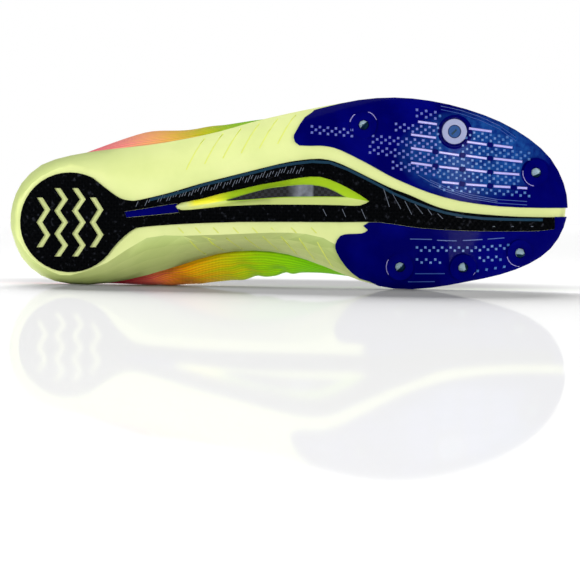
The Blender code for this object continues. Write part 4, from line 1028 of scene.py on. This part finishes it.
# Flat woven lace: matt polyester, its plait running to both edges like a herringbone
cord, tree, shader = new_material("flat_woven_lace", {
    "Roughness": 0.75, "Sheen Weight": 0.2, "Specular IOR Level": 0.25})
run = add(tree, "Attribute", {"attribute_name": "run"}, {}).outputs["Fac"]
side = add(tree, "Attribute", {"attribute_name": "side"}, {}).outputs["Fac"]
out = worked(tree, "ABSOLUTE", side)
along = worked(tree, "MULTIPLY", run, 2 * math.pi / PLAIT)
herring = worked(tree, "MULTIPLY_ADD", out, 7.0, along)
plait = worked(tree, "SINE", herring)
tint = remap(tree, plait, -1.0, 1.0)
yarn = blend(tree, tint, linear(LACE_SHADE), linear(LACE_LIME))
tree.links.new(yarn, shader.inputs["Base Color"])
bump(tree, shader, 0.6, 0.0003, plait)


def smooth_line(points, steps):
    """Points in even steps along a smooth line through some points."""
    line = []
    last = len(points) - 1
    for k in range(steps + 1):
        at = k * last / steps
        i = min(last - 1, int(at))
        t = at - i
        p0, p1, p2, p3 = (points[min(last, max(0, j))] for j in (i - 1, i, i + 1, i + 2))
        line.append((p1 * 2 + (p2 - p0) * t + (p0 * 2 - p1 * 5 + p2 * 4 - p3) * t ** 2
                     + (p1 * 3 - p0 - p2 * 3 + p3) * t ** 3) / 2)
    return line


def lace_run(bm, first, second, layer):
    """One run of lace out of an eyelet, over the tongue and down another eyelet."""
    (a, up_a, edge_a), (b, up_b, edge_b) = eyelets[first], eyelets[second]
    middle = (edge_a + edge_b) / 2
    over, _, _, _ = tongue_skin.ray_cast(middle + Vector((0.0, 0.05, 0.0)),
                                          Vector((0.0, -1.0, 0.0)))
    crest = max(over.y, middle.y) + CREST_RISE + layer * LAYER_RISE
    middle = Vector((middle.x, crest, middle.z))
    to_b = (middle - a).normalized()
    to_a = (middle - b).normalized()
    points = [a - up_a * LACE_UNDER, a + up_a * LACE_OVER + to_b * LACE_OVER,
              edge_a + (up_a + Vector((0.0, 1.0, 0.0))) * LACE_AT_EDGE + (middle - edge_a) * 0.05,
              middle,
              edge_b + (up_b + Vector((0.0, 1.0, 0.0))) * LACE_AT_EDGE + (middle - edge_b) * 0.05,
              b + up_b * LACE_OVER + to_a * LACE_OVER, b - up_b * LACE_UNDER]
    ups = [up_a + to_b * 0.8, up_a, up_a, Vector((0.0, 1.0, 0.0)), up_b, up_b, up_b + to_a * 0.8]
    swept(bm, smooth_line(points, LACE_STEPS), smooth_line(ups, LACE_STEPS), LACE_HALF, LACE_THICK,
          False, 10)


bm = bmesh.new()
last = len(EYELET_ROWS) - 1
lace_run(bm, (last, 1), (last, -1), 0)
for row in range(last):
    lace_run(bm, (row, 1), (row + 1, -1), 0)
    lace_run(bm, (row, -1), (row + 1, 1), 1)
lace = make_piece(bm, "woven_lace", 50.0, cord)
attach(lace, "root")
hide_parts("lace")


# Studio: a wide grey floor with a weak gloss, overlit to white, before a lit white backdrop.
# Round it are an even soft surround, panels low before the sole and one above, a low card, and
# a back light for the floor alone.
FLOOR_GREY = "B4B4B4"
FLOOR_SHADE = "787878"
FLOOR_GLOSS = 0.17
FLOOR_HALF = 14.0
BACKDROP_AWAY = 9.0
BACKDROP_HALF = 3.0
WHITE = "FFFFFF"
SURROUND_LIGHT = 0.36
SUN_LIGHT = 24.0
SUN_SPREAD = 20.0
PANEL_LIGHT = 21.0
PANEL_SIZE = 0.5
CARD_LIGHT = 3.8
CARD_SIZE = 0.4
TOP_LIGHT = 8.5

# Colours come out as they are set, as in a plain product shot
bpy.context.scene.view_settings.view_transform = "Standard"

# Grey floor paint, darker just behind the shoe, where it stands for a soft shadow
floor_paint = bpy.data.materials.new("satin_grey_floor")
floor_paint.use_nodes = True
tree = floor_paint.node_tree
tree.nodes.clear()
place = add(tree, "TexCoord", {}, {}).outputs["Object"]
behind = add(tree, "Mapping", {}, {"Vector": place, "Location": (0.0, -0.42, 0.0),
                                   "Scale": (5.4, 4.2, 0.0)})
reach = add(tree, "VectorMath", {"operation": "LENGTH"}, {0: behind.outputs[0]})
lift = remap(tree, reach.outputs["Value"], 0.45, 1.05, smooth=True)
paint = blend(tree, lift, linear(FLOOR_SHADE), linear(FLOOR_GREY))
matt = add(tree, "BsdfDiffuse", {}, {"Color": paint})
gloss = add(tree, "BsdfGlossy", {}, {"Color": linear(WHITE), "Roughness": 0.02})
both = add(tree, "MixShader", {}, {0: FLOOR_GLOSS, 1: matt.outputs[0], 2: gloss.outputs[0]})
add(tree, "OutputMaterial", {}, {"Surface": both.outputs[0]})
bm = bmesh.new()
bmesh.ops.create_grid(bm, x_segments=1, y_segments=1, size=FLOOR_HALF)
floor = make_piece(bm, "studio_floor", 30.0, floor_paint)

lit_white = bpy.data.materials.new("lit_white_backdrop")
lit_white.use_nodes = True
tree = lit_white.node_tree
tree.nodes.clear()
glow = add(tree, "Emission", {}, {"Color": linear(WHITE), "Strength": 1.0})
add(tree, "OutputMaterial", {}, {"Surface": glow.outputs[0]})
bm = bmesh.new()
stand_up = Matrix.Translation((0.0, BACKDROP_AWAY, 0.0)) @ Matrix.Rotation(math.radians(90), 4, "X")
bmesh.ops.create_grid(bm, x_segments=1, y_segments=1, size=BACKDROP_HALF, matrix=stand_up)
backdrop = make_piece(bm, "studio_backdrop", 30.0, lit_white)
backdrop.visible_shadow = False

world = bpy.data.worlds.new("soft_surround")
world.use_nodes = True
world.node_tree.nodes["Background"].inputs["Color"].default_value = linear(WHITE)
world.node_tree.nodes["Background"].inputs["Strength"].default_value = SURROUND_LIGHT
bpy.context.scene.world = world


def aimed(name, data, place, aim):
    """A lamp at a place, turned towards a point."""
    lamp = bpy.data.objects.new(name, data)
    bpy.context.scene.collection.objects.link(lamp)
    lamp.location = place
    lamp.rotation_mode = "QUATERNION"
    lamp.rotation_quaternion = (Vector(aim) - Vector(place)).to_track_quat("-Z", "Y")
    return lamp


def area_lamp(name, wide, high, watts, place, aim):
    """A rectangular lamp at a place, turned towards a point."""
    data = bpy.data.lights.new(name, "AREA")
    data.shape = "RECTANGLE"
    data.size = wide
    data.size_y = high
    data.energy = watts
    return aimed(name, data, place, aim)


# The low broad back light is flagged off the shoe: it only lights the floor, where the shoe's
# soft shadow lies towards the camera
lit_floor = bpy.data.collections.new("lit_floor")
lit_floor.objects.link(floor)
sun = bpy.data.lights.new("floor_back_light", "SUN")
sun.energy = SUN_LIGHT
sun.angle = math.radians(SUN_SPREAD)
sun_lamp = aimed("floor_back_light", sun, (-0.1, 1.6, 0.36), (0.0, 0.0, 0.0))
sun_lamp.light_linking.receiver_collection = lit_floor
for side in (-1, 1):
    area_lamp(f"low_panel_{side + 2}", PANEL_SIZE, PANEL_SIZE, PANEL_LIGHT,
              (1.2 * side, -2.6, 0.16), (0.0, 0.0, 0.04))
# A low white card's light fills the knit's and the foam's undersides
lit_low = bpy.data.collections.new("lit_low")
lit_low.objects.link(upper)
lit_low.objects.link(midsole)
card = area_lamp("low_card", CARD_SIZE, CARD_SIZE, CARD_LIGHT, (-0.35, -1.0, 0.03),
                 (-0.07, 0.0, 0.01))
card.light_linking.receiver_collection = lit_low
area_lamp("top_panel", 1.4, 0.8, TOP_LIGHT, (-0.3, 0.3, 1.6), (0.0, 0.0, 0.0))


# Camera: square on to the sole from far off, a little over the floor, rolled with the shoe.
PHOTO_SIZE = 580
CAMERA_REACH = 3.0
CAMERA_HEIGHT = 0.045
SENSOR = 36.0

middle = PHOTO_SIZE / 2
aim = on_shoe((middle - HEEL_PIXEL) * PIXEL, (middle - CENTRE_LINE_PIXEL) * PIXEL)
data = bpy.data.cameras.new("photo_camera")
data.sensor_width = SENSOR
data.lens = SENSOR * CAMERA_REACH / (PHOTO_SIZE * PIXEL)
data.clip_end = 100.0
camera = bpy.data.objects.new("photo_camera", data)
bpy.context.scene.collection.objects.link(camera)
camera.location = aim + Vector((0.0, -CAMERA_REACH, CAMERA_HEIGHT))
back = (camera.location - aim).normalized()
right = Vector((math.cos(TOE_RISE), 0.0, math.sin(TOE_RISE)))
up = back.cross(right).normalized()
right = up.cross(back)
camera.rotation_mode = "QUATERNION"
camera.rotation_quaternion = Matrix((right, up, back)).transposed().to_quaternion()
bpy.context.scene.camera = camera
